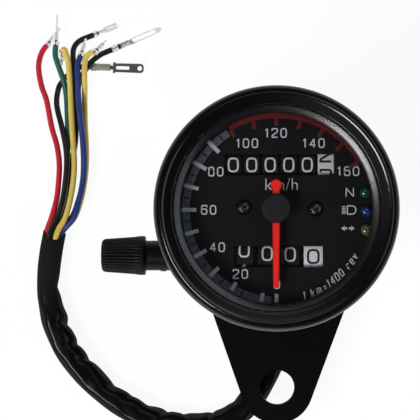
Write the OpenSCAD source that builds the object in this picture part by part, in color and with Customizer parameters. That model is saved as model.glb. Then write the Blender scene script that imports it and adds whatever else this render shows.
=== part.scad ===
/* [Case] */
// Outside diameter of the rolled bezel ring
bezel_d = 64; // [62:0.5:78]
// Height of the bezel's top edge above the end of the cable nipple
top_z = 65.5; // [65.5:0.5:80]
// Height of the case's rear face above the end of the cable nipple
rear_z = 15.5; // [13:0.5:18]
// Wall thickness of the pressed case
wall = 1; // [0.8:0.1:1.2]

/* [Counters] */
// Diameter of a number drum
drum_d = 18; // [15:0.5:18]
// Distance from one odometer drum to the next
odo_pitch = 4.9; // [4.8:0.1:4.9]
// Distance from one trip drum to the next
trip_pitch = 6.1; // [5.6:0.1:6.2]
// Height of the two windows in the dial
window_h = 5.5; // [4:0.5:6.5]

/* [Pointer] */
// Length of the pointer from its axis to its tip
pointer_len = 21; // [17:0.5:23]
// Width of the pointer where it leaves the cap
pointer_w = 1.9; // [1.5:0.1:3]
// Diameter of the pointer's cap
cap_d = 7.8; // [6:0.2:9]

/* [Reset knob] */
// Diameter of the knob at its open end
knob_d = 10.6; // [10.4:0.2:12.8]
// Diameter of the knob at its free end
knob_tip_d = 9; // [8:0.5:10.5]
// Length of the knob
knob_len = 11.8; // [9.8:0.2:14.2]
// Number of ribs round the knob
knob_ribs = 30; // [20:1:36]

/* [Bracket] */
// Distance from the gauge's axis to the bracket's fixing hole
ear_reach = 51.8; // [43:0.2:62]
// Diameter of the fixing hole
ear_hole_d = 10; // [8:0.5:12]
// Thickness of the bracket's steel plate
bracket_t = 2; // [1.5:0.1:2]

/* [Harness] */
// Outside diameter of the sleeve over the leads
sleeve_d = 7; // [6.8:0.1:7]
// Outside diameter of one lead
lead_d = 1.7; // [1.4:0.1:1.7]

/* [Hidden] */
$fn = 64;
eps = 0.05;

// Radii of the case, worked out from the bezel
bezel_r = bezel_d / 2;
case_r = bezel_r - 2.2;
bore_r = case_r - wall;
flange_r = bezel_r - 1;
sight_r = bezel_r - 5.1;
dial_r = bore_r - 0.3;
trim_foot_r = bezel_r - 6.9;

// Heights that hang from the bezel's top edge
lens_t = 2;
lens_z = top_z - 4.5;
flange_top = lens_z - 2;
flange_t = 1.2;
dial_top = lens_z - 5.8;
dial_t = 0.6;
dial_z = dial_top - dial_t;
drum_r = drum_d / 2;
drum_z = dial_z - 0.4 - drum_r;
bridge_t = 1.2;
bridge_z = drum_z - drum_r - 1 - bridge_t;
bridge_top = bridge_z + bridge_t;
pointer_z = dial_top + 2.6;
pointer_t = 1;

// Heights that stand on the case's rear face
floor_t = 1.5;
floor_top = rear_z + floor_t;
deck_z = floor_top + 1.4;
deck_t = 1.5;
deck_top = deck_z + deck_t;
cross_z = deck_top + 3.5;
spur_z = cross_z + 2.6;
spur_t = 1;
magnet_z = spur_z + spur_t + 0.6;
magnet_h = 4;
cup_z = magnet_z + 0.6;
cup_top = magnet_z + magnet_h + 1.2;
bracket_z = rear_z - 5;
stud_head_h = 1.2;

// Counter train: one revolution of a tenths drum takes 14 x 10 x 10 turns of the drive
gear_module = 0.412;
tooth_pitch = gear_module * PI;
worm_r = 1.5;
worm_crest = 0.36;
worm_root = 0.5;
cross_teeth = 14;
tower_teeth = 10;
cross_wheel_r = cross_teeth * gear_module / 2;
tower_wheel_r = tower_teeth * gear_module / 2;
wheel_w = 1.2;
shaft_r = 0.8;
fit = 0.04;

// Places in the plan of the gauge
odo_y = 11.5;
trip_y = -12.8;
cross_y = worm_r + cross_wheel_r;
tower_x = 17.3;
tower_y = odo_y - worm_r - tower_wheel_r;
trip_tower_y = trip_y + worm_r + tower_wheel_r;
spur_teeth = 42;
spur_r = (tower_y - trip_tower_y) / 2;
odo_first_x = -11.4;
odo_drum_w = 4.2;
trip_first_x = -8.5;
trip_drum_w = 5;
odo_count = 6;
trip_count = 4;
axle_r = 0.75;
post_places = [[-8.6, 0.2], [10.4, -0.2]];
post_r = 1.8;
stud_ring_r = 19;
stud_angles = [90, 210, 330];
stud_r = 2.5;
stud_head_r = 4;
case_screw_places = [[18, 2], [-12, 10], [-8, -16]];
pillar_places = [[-13, 8.5], [-13, -8.5], [3, 16.2]];
socket_places = [[-21, 6], [-11, 20.5]];
lamp_r = 1.4;
lamp_ring_r = trim_foot_r - lamp_r - 0.1;
lamp_places = [for (p = [[4.2, 0], [-0.8, 0], [-5.7, 0.6]])
    [sqrt(lamp_ring_r * lamp_ring_r - p[0] * p[0]) + p[1], p[0]]];

// Carry gearing between the drums, an inside ring of 20 teeth and a pinion of 8
ring_teeth = 20;
ring_r = drum_r * 0.75;
pinion_teeth = 8;
pinion_r = ring_r * pinion_teeth / ring_teeth;
pinion_drop = ring_r - pinion_r;
carry_tip = 0.4;
carry_root = 0.55;
carry_half_w = 0.4;
recess_t = 1.5;
carrier_t = 0.35;

// Reset stem through the side of the case
neck_r = 4.05;
neck_tip_x = -42.8;
knob_tip_x = -47.2;
stem_tip_x = knob_tip_x + 1.6;

// Drive shaft and its nipple
nipple_r = 6;
nipple_spigot_r = 4.5;
shaft_body_r = 2;
shaft_end_z = 8.5;
socket_w = 2.6;
cup_r = 12.6;
magnet_r = 11.4;
spindle_r = 0.6;

// Harness: the grommet's place and heading, then routes chosen by eye along the photo's curves
grommet_x = 5;
grommet_y = -17;
grommet_heading = -105;
elbow_r = 5.5;
elbow_drop_z = 4.3;
elbow_tube_r = 4.2;
sleeve_start = [
    grommet_x + elbow_r * cos(grommet_heading), grommet_y + elbow_r * sin(grommet_heading), elbow_drop_z
];
sleeve_route = concat([sleeve_start], [
    [2.6, -31.8, 3.6], [0.3, -41, 3.5], [-3.6, -50.3, 3.5], [-9, -58.6, 3.5], [-17, -63.6, 3.5],
    [-26.4, -64.5, 3.5], [-36, -62.7, 3.5], [-45.5, -58.1, 3.5], [-54.2, -51.1, 3.5], [-60.9, -43.3, 3.5],
    [-65, -35.2, 3.5], [-67.1, -27, 3.5], [-67.3, -19.5, 3.5], [-66.6, -13, 3.5], [-65.5, -7, 3.5]
]);
mouth = sleeve_route[len(sleeve_route) - 1];
mouth_heading = heading(sleeve_route, len(sleeve_route) - 1);

// Each lead: its place in the sleeve's mouth, then its route over the table
lead_routes = [
    concat([in_mouth(-2.24, 0.51)], [
        [-66.4, -2.9, 4.2], [-65, 2.5, 3.4], [-64.4, 7.9, 3.1], [-64.2, 13.3, 3.1], [-65, 18.7, 2.6],
        [-66.6, 24.1, 2], [-68.2, 31.9, 1.3], [-69.8, 36.6, 1.2], [-70.6, 42.1, 1.2], [-69.7, 46.2, 1.2],
        [-68, 48.5, 1.4]]),
    concat([in_mouth(-1.8, -1.43)], [
        [-64.9, -2.9, 2.8], [-63.1, 2.5, 2.8], [-62.4, 7.9, 2.7], [-62, 12.8, 2.6], [-61.8, 18.7, 2.4],
        [-61.8, 24.7, 2.3], [-62, 30.6, 2.3], [-62.3, 34.5, 2.5], [-63, 38, 3], [-64.3, 41.8, 3.3],
        [-65.3, 45.3, 3.6], [-65.1, 48.4, 4]]),
    concat([in_mouth(-1, 2.07)], [
        [-64.6, -2.9, 5], [-63, 2.5, 4.7], [-62.2, 7.9, 4.6], [-61.8, 13.2, 4.5], [-62.1, 18.1, 4.3],
        [-63.4, 24, 3.3], [-65.1, 30.7, 1.8], [-64.7, 35.5, 1.1], [-63.5, 37.7, 1], [-62.2, 39.2, 1],
        [-59.9, 41.1, 1], [-57.3, 42.1, 1], [-54.8, 42, 1.2]]),
    concat([in_mouth(1, 2.07)], [
        [-62.2, -2.9, 5.3], [-60.8, 2.5, 4.6], [-59.9, 7.9, 4.4], [-59.6, 13.2, 4.3], [-59.9, 18.6, 4.2],
        [-60.3, 24, 4.2], [-60.6, 30.5, 4.1], [-60.8, 35.5, 4.1], [-61, 39.1, 4.6], [-61.3, 42.8, 4.7],
        [-61.9, 45.2, 4.9], [-62.2, 46.5, 5.1], [-63.1, 47.1, 4.8], [-63.2, 46.3, 4.2]]),
    concat([in_mouth(0, -2.3)], [
        [-64.2, -2.9, 1], [-62.4, 2.5, 1], [-61.4, 7.9, 1], [-60.9, 13.3, 1], [-59.8, 18.7, 1],
        [-59.5, 24.2, 1], [-59.8, 30.7, 1], [-59.8, 35.6, 1.1], [-59.7, 38, 1.9], [-59.7, 40.4, 2.9],
        [-60, 43.6, 2.9], [-60.1, 46.4, 2.9], [-59.4, 48.3, 2.9], [-57.8, 49.8, 2.7], [-53.9, 51.4, 2.4]]),
    concat([in_mouth(2.24, 0.51)], [
        [-59.7, -2.9, 4.8], [-58.1, 2.5, 4.8], [-56.9, 7.9, 4.7], [-56.6, 13.2, 4.8], [-56.8, 18.6, 4.8],
        [-57.4, 23.9, 4.8], [-58.1, 30.5, 4.7], [-58.4, 35.4, 4.7], [-58.5, 39.1, 4.8], [-58.5, 42.3, 4.8],
        [-57.6, 45.2, 4.8]]),
    concat([in_mouth(1.8, -1.43)], [
        [-60, -2.9, 1], [-58, 2.5, 1], [-56.9, 7.9, 1], [-56.4, 13.3, 1], [-56.4, 18.7, 1],
        [-56.7, 24.1, 1], [-56.8, 30.7, 1.4], [-56.6, 35.5, 3.4], [-56.5, 39.1, 4.8], [-56.4, 42.7, 5],
        [-55.9, 44.7, 5.1], [-54.9, 45.6, 5.2], [-53.9, 45.5, 5.2], [-53.4, 46, 5.3]]),
    concat([in_mouth(0, 0)], [
        [-60.7, -2.9, 2.8], [-58.5, 2.5, 2.8], [-57.3, 7.9, 2.8], [-57, 13.3, 2.8], [-57.2, 18.6, 2.8],
        [-57.7, 24, 2.8], [-58.5, 30.6, 2.8], [-58.6, 35.5, 2.8], [-58, 38, 2.8], [-57.2, 39.7, 2.9],
        [-56.1, 41.4, 3], [-54.6, 43.4, 3], [-51.9, 45.5, 2.8], [-48.5, 47, 2.4]])
];
// Length and half width of the flat tip of each lead's terminal, and the crimp that holds it
terminal_tips = [
    [4, 0.9], [5.6, 0.6], [12.5, 1.35], [2.5, 0.8], [4.2, 1.3], [4, 0.8], [2.6, 0.8], [12.6, 1.3]
];
crimp_len = 3.2;
tip_t = 0.6;

function unit(v) = v / norm(v);
function heading(route, i) =
    i == 0 ? unit(route[1] - route[0]) :
    i == len(route) - 1 ? unit(route[i] - route[i - 1]) : unit(route[i + 1] - route[i - 1]);
function side_of(dir) = unit(cross(dir, [0, 0, 1]));
function in_mouth(across, up) = mouth + across * side_of(mouth_heading) + [0, 0, up];
function ring(centre, dir, r, sides) = let (s = side_of(dir), u = cross(s, dir))
    [for (k = [0:sides - 1]) centre + r * cos(360 * k / sides) * s + r * sin(360 * k / sides) * u];
function polar(r, a) = [r * cos(a), r * sin(a)];

// Points of a toothed outline; one tooth is centred on the angle first
function toothed(n, pitch_r, tip, root, half_w, first) = [
    for (k = [0:n - 1]) let (
        a = first + 360 * k / n,
        at_root = (half_w + 0.1) / (pitch_r - root) * 180 / PI,
        at_tip = (half_w - 0.1) / (pitch_r + tip) * 180 / PI
    ) each [
        polar(pitch_r - root, a - at_root), polar(pitch_r + tip, a - at_tip),
        polar(pitch_r + tip, a + at_tip), polar(pitch_r - root, a + at_root)
    ]
];

module disc(r, z, h) translate([0, 0, z]) cylinder(r = r, h = h);
module tube_z(outer_r, inner_r, z, h) difference() {
    disc(outer_r, z, h);
    disc(inner_r, z - 1, h + 2);
}
// Whatever is drawn along +Z from the origin, laid along +X from x0
module along_x(x0, y, z) translate([x0, y, z]) rotate([0, 90, 0]) children();
module rod_x(r, x0, x1, y, z) along_x(x0, y, z) cylinder(r = r, h = x1 - x0);
module at_studs() for (a = stud_angles) translate(concat(polar(stud_ring_r, a), [0])) children();
module at_places(places) for (p = places) translate([p[0], p[1], 0]) children();
module spun(points) rotate_extrude($fn = 96) polygon(points);

// A round bar swept along a route, its first ring square to the heading given
module swept_bar(route, r, sides, start) {
    n = len(route);
    points = [for (i = [0:n - 1]) each ring(route[i], i == 0 ? start : heading(route, i), r, sides)];
    caps = [[for (k = [sides - 1:-1:0]) k], [for (k = [0:sides - 1]) (n - 1) * sides + k]];
    skin = [for (i = [0:n - 2], k = [0:sides - 1]) let (a = i * sides, b = a + sides, m = (k + 1) % sides)
        [a + k, a + m, b + m, b + k]];
    polyhedron(points = points, faces = concat(caps, skin), convexity = 8);
}

// Worm on +Z round height 0; at azimuth 0 its groove is at height 0. hand is 1 or -1
module worm(turns, hand) {
    steps = 16;
    n = turns * steps;
    root_r = worm_r - worm_root;
    crest_r = worm_r + worm_crest;
    foot_r = root_r - 0.15;
    section = [[foot_r, -0.34], [crest_r, -0.13], [crest_r, 0.13], [foot_r, 0.34]];
    points = [for (i = [0:n]) let (a = hand * 360 * i / steps, z = (i / steps - turns / 2) * tooth_pitch)
        each [for (s = section) [s[0] * cos(a), s[0] * sin(a), s[1] + z]]];
    skin = [for (i = [0:n - 1], k = [0:3]) let (a = 4 * i, b = a + 4, m = (k + 1) % 4)
        hand > 0 ? [a + k, a + m, b + m, b + k] : [a + k, b + k, b + m, a + m]];
    caps = hand > 0 ? [[3, 2, 1, 0], [4 * n, 4 * n + 1, 4 * n + 2, 4 * n + 3]]
        : [[0, 1, 2, 3], [4 * n + 3, 4 * n + 2, 4 * n + 1, 4 * n]];
    cylinder(r = root_r, h = (turns + 1.2) * tooth_pitch, center = true);
    rotate(turns % 2 == 0 ? 180 : 0)
        polyhedron(points = points, faces = concat(caps, skin), convexity = 6);
}
module gear_wheel(n, pitch_r, w, first) linear_extrude(height = w, center = true)
    polygon(toothed(n, pitch_r, worm_crest, worm_root, 0.24, first));

module housing() color("#1b1b1d") difference() {
    spun([
        [0, rear_z], [case_r - 2.5, rear_z], [case_r - 1, rear_z + 0.5], [case_r, rear_z + 2],
        [case_r, flange_top - flange_t], [flange_r, flange_top - flange_t], [flange_r, flange_top],
        [bore_r, flange_top], [bore_r, floor_top + 1], [bore_r - 1, floor_top], [0, floor_top]
    ]);
    disc(nipple_spigot_r + eps, rear_z - 1, floor_t + 2);
    at_studs() disc(stud_r + eps, rear_z - 1, floor_t + 2);
    at_places(case_screw_places) disc(1.55, rear_z - 1, floor_t + 2);
    at_places(socket_places) disc(3.05, rear_z - 1, floor_t + 2);
    translate([grommet_x, grommet_y, 0]) disc(4.65, rear_z - 1, floor_t + 2);
    rod_x(neck_r + eps, -case_r - 2, -bore_r + 10, trip_y, drum_z);
}

module bezel_ring() color("#0c0c0e") spun([
    [case_r + 0.2, flange_top - 2.4], [bezel_r - 0.5, flange_top - 2.4], [bezel_r, flange_top - 1.9],
    [bezel_r, top_z - 2], [bezel_r - 0.15, top_z - 1.2], [bezel_r - 0.55, top_z - 0.7],
    [bezel_r - 1, top_z - 0.6], [bezel_r - 1.2, top_z - 0.9], [bezel_r - 1.5, top_z - 0.5],
    [bezel_r - 1.8, top_z - 0.1], [bezel_r - 2.2, top_z], [bezel_r - 2.5, top_z - 0.2],
    [bezel_r - 3, top_z - 0.7], [bezel_r - 4.4, top_z - 1], [bezel_r - 4.7, top_z - 0.9],
    [bezel_r - 5, top_z - 1.2], [sight_r, top_z - 1.6], [sight_r, lens_z + lens_t],
    [flange_r + 0.1, lens_z + lens_t], [flange_r + 0.1, flange_top - flange_t],
    [case_r + 0.2, flange_top - flange_t]
]);

module lens() color("#dfe8ee", 0.35) disc(flange_r, lens_z, lens_t, $fn = 96);

module lens_gasket() color("#141414")
    tube_z(flange_r, bore_r + eps, flange_top, lens_z - flange_top, $fn = 96);

module trim_ring() color("#101013") spun([
    [sight_r - 0.6, dial_top], [bore_r - 0.2, dial_top], [bore_r - 0.2, lens_z], [sight_r - 0.1, lens_z],
    [sight_r - 0.1, lens_z - 0.3], [trim_foot_r + 0.2, lens_z - 1.1], [trim_foot_r, lens_z - 3.4],
    [sight_r - 0.6, lens_z - 3.4]
]);

module window(x0, x1, y) translate([x0, y - window_h / 2, dial_z - 1]) cube([x1 - x0, window_h, dial_t + 2]);
module dial_plate() color("#161617") difference() {
    disc(dial_r, dial_z, dial_t, $fn = 96);
    window(odo_first_x - 2.2, odo_first_x + (odo_count - 1) * odo_pitch + 2.2, odo_y);
    window(trip_first_x - 2.6, trip_first_x + (trip_count - 1) * trip_pitch + 2.6, trip_y);
    at_places(post_places) disc(1.05, dial_z - 1, dial_t + 2);
    at_places(lamp_places) disc(lamp_r + eps, dial_z - 1, dial_t + 2);
    disc(2.2, dial_z - 1, dial_t + 2);
}

module dial_screws() color("#151515") at_places(post_places) difference() {
    union() {
        disc(1.9, dial_top, 0.9);
        disc(0.9, dial_z - 5, 5 + dial_t + 0.1);
    }
    for (a = [35, 125]) translate([0, 0, dial_top + 0.75]) rotate(a) cube([2.6, 0.45, 0.6], center = true);
}

module cable_nipple() color("#b9bcc0") difference() {
    union() {
        disc(nipple_r, 0, rear_z - 1.2);
        disc(nipple_r + 2, rear_z - 1.2, 1.2);
        disc(nipple_spigot_r, rear_z, deck_top - rear_z);
    }
    disc(3.2, -1, shaft_end_z);
    disc(shaft_body_r + fit, shaft_end_z - 2, deck_top);
}

module mounting_studs() color("#a9adb2") at_studs() {
    disc(stud_r, 0, floor_top + 0.1);
    disc(stud_head_r, floor_top, stud_head_h);
}

module rubber_cushions() color("#18181a") at_studs() spun([
    [stud_r + eps, bracket_z - 2], [7.5, bracket_z - 2], [7.5, bracket_z], [4, bracket_z],
    [4, bracket_z + bracket_t], [7.5, bracket_z + bracket_t], [7.5, rear_z], [stud_r + eps, rear_z]
]);

module stud_washers() color("#9ea3a8") at_studs() {
    tube_z(6.5, stud_r + eps, bracket_z - 3, 1);
    tube_z(4.4, stud_r + eps, bracket_z - 4, 0.9);
}

module stud_nuts() color("#b4b8bd") at_studs() difference() {
    translate([0, 0, bracket_z - 8]) cylinder(r = 4 / cos(30), h = 3.9, $fn = 6);
    disc(stud_r + eps, bracket_z - 9, 6);
}

module case_screws() color("#8f9398") at_places(case_screw_places) difference() {
    union() {
        disc(2.8, rear_z - 1.8, 1.8);
        disc(1.45, rear_z - 0.1, deck_top - rear_z);
    }
    for (a = [0, 90]) translate([0, 0, rear_z - 1.6]) rotate(a) cube([3.6, 0.7, 1.2], center = true);
}

module bracket() color("#141416") difference() {
    translate([0, 0, bracket_z]) linear_extrude(height = bracket_t) hull() {
        translate([0.7, 0]) circle(r = bezel_r - 3.9);
        translate([0.2, -ear_reach]) circle(r = 10.5);
    }
    translate([0.2, -ear_reach, 0]) disc(ear_hole_d / 2, bracket_z - 1, bracket_t + 2);
    disc(9, bracket_z - 1, bracket_t + 2);
    at_studs() disc(4 + eps, bracket_z - 1, bracket_t + 2);
    translate([grommet_x, grommet_y, 0]) disc(6.2, bracket_z - 1, bracket_t + 2);
}

// Quarter of a torus that turns from straight down to level
module elbow(r) translate([elbow_r, 0, elbow_drop_z + elbow_r]) intersection() {
    rotate([90, 0, 0]) rotate_extrude() translate([elbow_r, 0]) circle(r = r);
    translate([-3 * elbow_r, -2 * elbow_r, -3 * elbow_r]) cube([3 * elbow_r, 4 * elbow_r, 3 * elbow_r]);
}
module harness_grommet() color("#151517") translate([grommet_x, grommet_y, 0]) rotate(grommet_heading)
difference() {
    union() {
        disc(5.8, rear_z - 1.2, 1.2);
        disc(4.6, rear_z - 0.1, floor_t + 0.2);
        disc(6.2, floor_top, 1.2);
        disc(elbow_tube_r, elbow_drop_z + elbow_r, rear_z - elbow_drop_z - elbow_r);
        elbow(elbow_tube_r);
    }
    disc(2.9, elbow_drop_z + elbow_r - 0.01, 20);
    elbow(2.9);
}

module harness_sleeve() color("#101012")
    swept_bar(sleeve_route, sleeve_d / 2, 10, [cos(grommet_heading), sin(grommet_heading), 0]);

module lead_wires() color("#7a1f24") for (route = lead_routes) swept_bar(route, lead_d / 2, 8, mouth_heading);

module lead_terminals() color("#c9c5ba") for (i = [0:len(lead_routes) - 1]) {
    route = lead_routes[i];
    dir = heading(route, len(route) - 1);
    tip = terminal_tips[i];
    translate(route[len(route) - 1]) rotate([0, -asin(dir[2]), atan2(dir[1], dir[0])]) {
        rod_x(lead_d / 2, 0, crimp_len, 0, 0);
        translate([crimp_len - 0.1, -tip[1], -tip_t / 2]) cube([tip[0], 2 * tip[1], tip_t]);
    }
}

module lamp(place) translate([place[0], place[1], 0]) {
    disc(lamp_r, dial_top - 6, 6.2);
    translate([0, 0, dial_top + 0.2]) rotate_extrude() intersection() {
        circle(r = lamp_r);
        square([lamp_r + 1, lamp_r + 1]);
    }
}
module lamp_green() color("#1f6b3c") lamp(lamp_places[0]);
module lamp_blue() color("#1f3fae") lamp(lamp_places[1]);
module lamp_amber() color("#7d7a35") lamp(lamp_places[2]);

module lamp_holder() color("#202022") difference() {
    translate([tower_x + 3.4, -8.6, dial_z - 10]) cube([lamp_ring_r + lamp_r + 0.9 - tower_x - 3.4, 16, 10]);
    at_places(lamp_places) disc(lamp_r + eps, dial_top - 6, 8);
    at_places(lamp_places) disc(0.7, dial_z - 11, 8);
}

module lamp_sockets() color("#1c1c1e") at_places(socket_places) {
    disc(3, rear_z, floor_t + 0.1);
    disc(3.5, floor_top, 6);
}
module dial_bulbs() color("#e6e0cf") at_places(socket_places) {
    disc(2.2, floor_top + 6, 7);
    translate([0, 0, floor_top + 13]) sphere(r = 2.2);
}

module mechanism_frame() color("#9a9da1") difference() {
    union() {
        disc(22.5, deck_z, deck_t);
        disc(8, floor_top, 1.5);
        at_places(case_screw_places) disc(2.6, floor_top, 1.5);
        for (x = [-5, 12]) translate([x, cross_y - 1.5, deck_top - 0.1]) cube([1.8, 3, 5.1]);
        at_places(pillar_places) disc(post_r, deck_top - 0.1, bridge_z - deck_top + 0.1);
    }
    disc(nipple_spigot_r + eps, floor_top - 1, deck_top);
    at_places(case_screw_places) disc(1.5, floor_top - 1, deck_top);
    at_places(socket_places) disc(4, floor_top - 1, deck_top);
    translate([grommet_x, grommet_y - 2, 0]) disc(3.4, floor_top - 1, deck_top);
    for (y = [tower_y, trip_tower_y]) translate([tower_x, y, 0]) disc(shaft_r + fit, deck_z - 1, deck_t + 2);
    rod_x(shaft_r + fit, -6, 15, cross_y, cross_z);
}

// Upright ear of the bridge that carries an axle end
module ear(x, y, hole_r) difference() {
    translate([x, y - 3, bridge_top - 0.1]) cube([0.9, 6, drum_z - bridge_top + 2.5]);
    rod_x(hole_r, x - 1, x + 2, y, drum_z);
}
module bridge_plate() color("#a4a7ab") difference() {
    union() {
        translate([-15.6, -17, bridge_z]) cube([36, 33.2, bridge_t]);
        at_places(post_places) disc(post_r, bridge_top - 0.1, dial_z - bridge_top + 0.1);
        ear(-15.2, odo_y, axle_r + fit);
        ear(19.5, odo_y, axle_r + fit);
        ear(-13, trip_y, axle_r + fit);
        ear(19.5, trip_y, axle_r + fit);
        for (y = [tower_y, trip_tower_y]) translate([tower_x - 1.4, y - 1.4, drum_z + 3]) cube([3.6, 2.8, 1]);
        for (y = [tower_y, trip_tower_y]) translate([19.4, y - 1.4, bridge_top - 0.1])
            cube([1, 2.8, drum_z + 4 - bridge_top + 0.1]);
    }
    at_places(post_places) disc(0.95, dial_z - 6, 8);
    disc(spindle_r + fit, bridge_z - 1, bridge_t + 2);
    for (y = [tower_y, trip_tower_y]) translate([tower_x, y, 0]) disc(shaft_r + fit, bridge_z - 1, drum_z);
}

module drive_shaft() color("#b3b6ba") difference() {
    union() {
        disc(shaft_body_r, shaft_end_z, deck_top + 0.6 - shaft_end_z);
        disc(worm_r - worm_root, deck_top, magnet_z - deck_top);
        translate([0, 0, cross_z]) rotate(90) worm(3, -1);
        disc(2.6, magnet_z - 0.8, 0.8);
        disc(1.5, magnet_z - 0.1, magnet_h + 0.3);
    }
    translate([-socket_w / 2, -socket_w / 2, shaft_end_z - 1]) cube([socket_w, socket_w, 7]);
    disc(spindle_r + fit, magnet_z + magnet_h - 1.8, 3);
}

module drive_magnet() color("#3a3c3f") difference() {
    disc(magnet_r, magnet_z, magnet_h);
    disc(1.5 + fit, magnet_z - 1, magnet_h + 2);
    for (a = [0:90:270]) rotate(a) translate([magnet_r, 0, magnet_z - 1]) cylinder(r = 1.4, h = magnet_h + 2);
}

module speed_cup() color("#c7cacd") spun([
    [spindle_r + 0.02, cup_top - 0.5], [cup_r - 0.5, cup_top - 0.5], [cup_r - 0.5, cup_z], [cup_r, cup_z],
    [cup_r, cup_top], [spindle_r + 0.02, cup_top]
]);

module pointer_spindle() color("#c9ccd0") {
    disc(spindle_r, magnet_z + magnet_h - 1.5, pointer_z + pointer_t - magnet_z - magnet_h + 1.5);
    disc(1.2, bridge_top + 0.4, 1.6);
}

module hairspring() color("#b9925a") {
    turns = 3;
    steps = 24;
    n = turns * steps;
    band = 0.12;
    inner = [for (i = [0:n]) polar(1.7 + 2.6 * i / n, 360 * i / steps)];
    outer = [for (i = [n:-1:0]) polar(1.7 + band + 2.6 * i / n, 360 * i / steps)];
    translate([0, 0, bridge_top + 0.8]) linear_extrude(height = 0.8) polygon(concat(inner, outer));
    translate([4.2, -0.5, bridge_top]) cube([1, 1, 1.8]);
}

module pointer() color("#d4201c") difference() {
    union() {
        translate([0, 0, pointer_z]) linear_extrude(height = pointer_t) {
            polygon([[-pointer_w / 2, 0], [-pointer_w / 2 + 0.1, 1 - pointer_len],
                [pointer_w / 2 - 0.1, 1 - pointer_len], [pointer_w / 2, 0]]);
            translate([0, 1 - pointer_len]) circle(r = pointer_w / 2 - 0.1);
            translate([-0.95, 0]) square([1.9, 6.1]);
            translate([0, 6.1]) circle(r = 1.5);
            circle(r = 2.9);
        }
        disc(2, dial_top + 0.6, pointer_z - dial_top - 0.5);
    }
    disc(spindle_r + 0.02, dial_top, 8);
}

module pointer_cap() color("#222224") spun([
    [0, pointer_z + pointer_t], [cap_d / 2, pointer_z + pointer_t], [cap_d / 2, pointer_z + pointer_t + 1.1],
    [cap_d / 2 - 0.4, pointer_z + pointer_t + 1.5], [0, pointer_z + pointer_t + 1.6]
]);

module cross_shaft() color("#c2b280") {
    rod_x(shaft_r, -5.6, tower_x + 2.4, cross_y, cross_z);
    along_x(0, cross_y, cross_z) gear_wheel(cross_teeth, cross_wheel_r, wheel_w, -90);
    along_x(tower_x, cross_y, cross_z) rotate(90) worm(3, 1);
}

module tower(y, toward) translate([tower_x, y, 0]) {
    disc(shaft_r, deck_z + 0.1, drum_z + 4 - deck_z - 0.1);
    translate([0, 0, spur_z]) linear_extrude(height = spur_t)
        polygon(toothed(spur_teeth, spur_r, worm_crest, worm_root, 0.24,
            toward < 0 ? 90 : -90 + 180 / spur_teeth));
    translate([0, 0, drum_z]) rotate(-90 * toward) worm(2, 1);
}
module tower_shaft() color("#c2b280") {
    tower(tower_y, -1);
    translate([tower_x, tower_y, cross_z]) gear_wheel(tower_teeth, tower_wheel_r, wheel_w, -90);
}
module trip_tower_shaft() color("#c2b280") tower(trip_tower_y, 1);

module odometer_axle() color("#c2b280") {
    rod_x(axle_r, -15.5, 20.6, odo_y, drum_z);
    along_x(tower_x, odo_y, drum_z) gear_wheel(tower_teeth, tower_wheel_r, wheel_w, -90);
}

// Number drum with its middle at x: an inside ring on its right, two carry teeth on its left
module drum(x, y, w) along_x(x, y, drum_z) difference() {
    translate([0, 0, -w / 2]) cylinder(r = drum_r, h = w);
    cylinder(r = axle_r + fit, h = w + 2, center = true);
    translate([0, 0, w / 2 - recess_t]) linear_extrude(height = recess_t + 1) difference() {
        circle(r = ring_r + carry_root);
        ring_teeth_shape([0:ring_teeth - 1]);
    }
    translate([0, 0, -w / 2 - 1]) linear_extrude(height = recess_t + 1) difference() {
        circle(r = ring_r + carry_root);
        ring_teeth_shape([9, 10]);
    }
}
// Inward teeth of a carry ring; tooth 0 points down (-Z of the gauge)
module ring_teeth_shape(which) for (k = which) rotate(360 * k / ring_teeth) polygon([
    [ring_r + carry_root + 0.5, -0.75], [ring_r - carry_tip, -carry_half_w + 0.1],
    [ring_r - carry_tip, carry_half_w - 0.1], [ring_r + carry_root + 0.5, 0.75]
]);

// Carry pinion in the gap right of the drum at x, below the axle
module pinion(x, w, pitch, y) along_x(x + pitch / 2, y, drum_z - pinion_drop) {
    gap = pitch - w;
    cylinder(r = 1, h = pitch - w + 0.5, center = true);
    for (s = [-1, 1]) translate([0, 0, s * (gap / 2 + 0.65)]) linear_extrude(height = 1.1, center = true)
        polygon(toothed(pinion_teeth, pinion_r, carry_tip, carry_root, carry_half_w, 180 / pinion_teeth));
}
module carriers(first_x, w, pitch, count, y) for (k = [0:count - 2]) {
    x = first_x + (k + 0.5) * pitch - carrier_t / 2;
    difference() {
        union() {
            rod_x(drum_r - 0.8, x, x + carrier_t, y, drum_z);
            translate([x, y - 3, bridge_top]) cube([carrier_t, 6, drum_z - bridge_top]);
        }
        rod_x(axle_r + fit, x - 1, x + 2, y, drum_z);
        rod_x(1 + fit, x - 1, x + 2, y, drum_z - pinion_drop);
    }
}
module carrier_plates() color("#8d9094") {
    carriers(odo_first_x, odo_drum_w, odo_pitch, odo_count, odo_y);
    carriers(trip_first_x, trip_drum_w, trip_pitch, trip_count, trip_y);
}
module odometer_drum(k) color(k == odo_count ? "#e8e8e6" : "#141416")
    drum(odo_first_x + (k - 1) * odo_pitch, odo_y, odo_drum_w);
module trip_drum(k) color(k == trip_count ? "#e8e8e6" : "#141416")
    drum(trip_first_x + (k - 1) * trip_pitch, trip_y, trip_drum_w);
module odometer_pinion(k) color("#d9d6cc")
    pinion(odo_first_x + (k - 1) * odo_pitch, odo_drum_w, odo_pitch, odo_y);
module trip_pinion(k) color("#d9d6cc")
    pinion(trip_first_x + (k - 1) * trip_pitch, trip_drum_w, trip_pitch, trip_y);

module trip_axle() color("#b9bcc0") rod_x(axle_r, stem_tip_x, 20.6, trip_y, drum_z);
module trip_wheel() color("#c2b280") along_x(tower_x, trip_y, drum_z) difference() {
    gear_wheel(tower_teeth, tower_wheel_r, wheel_w, 90);
    cylinder(r = axle_r + fit, h = 4, center = true);
}

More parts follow.
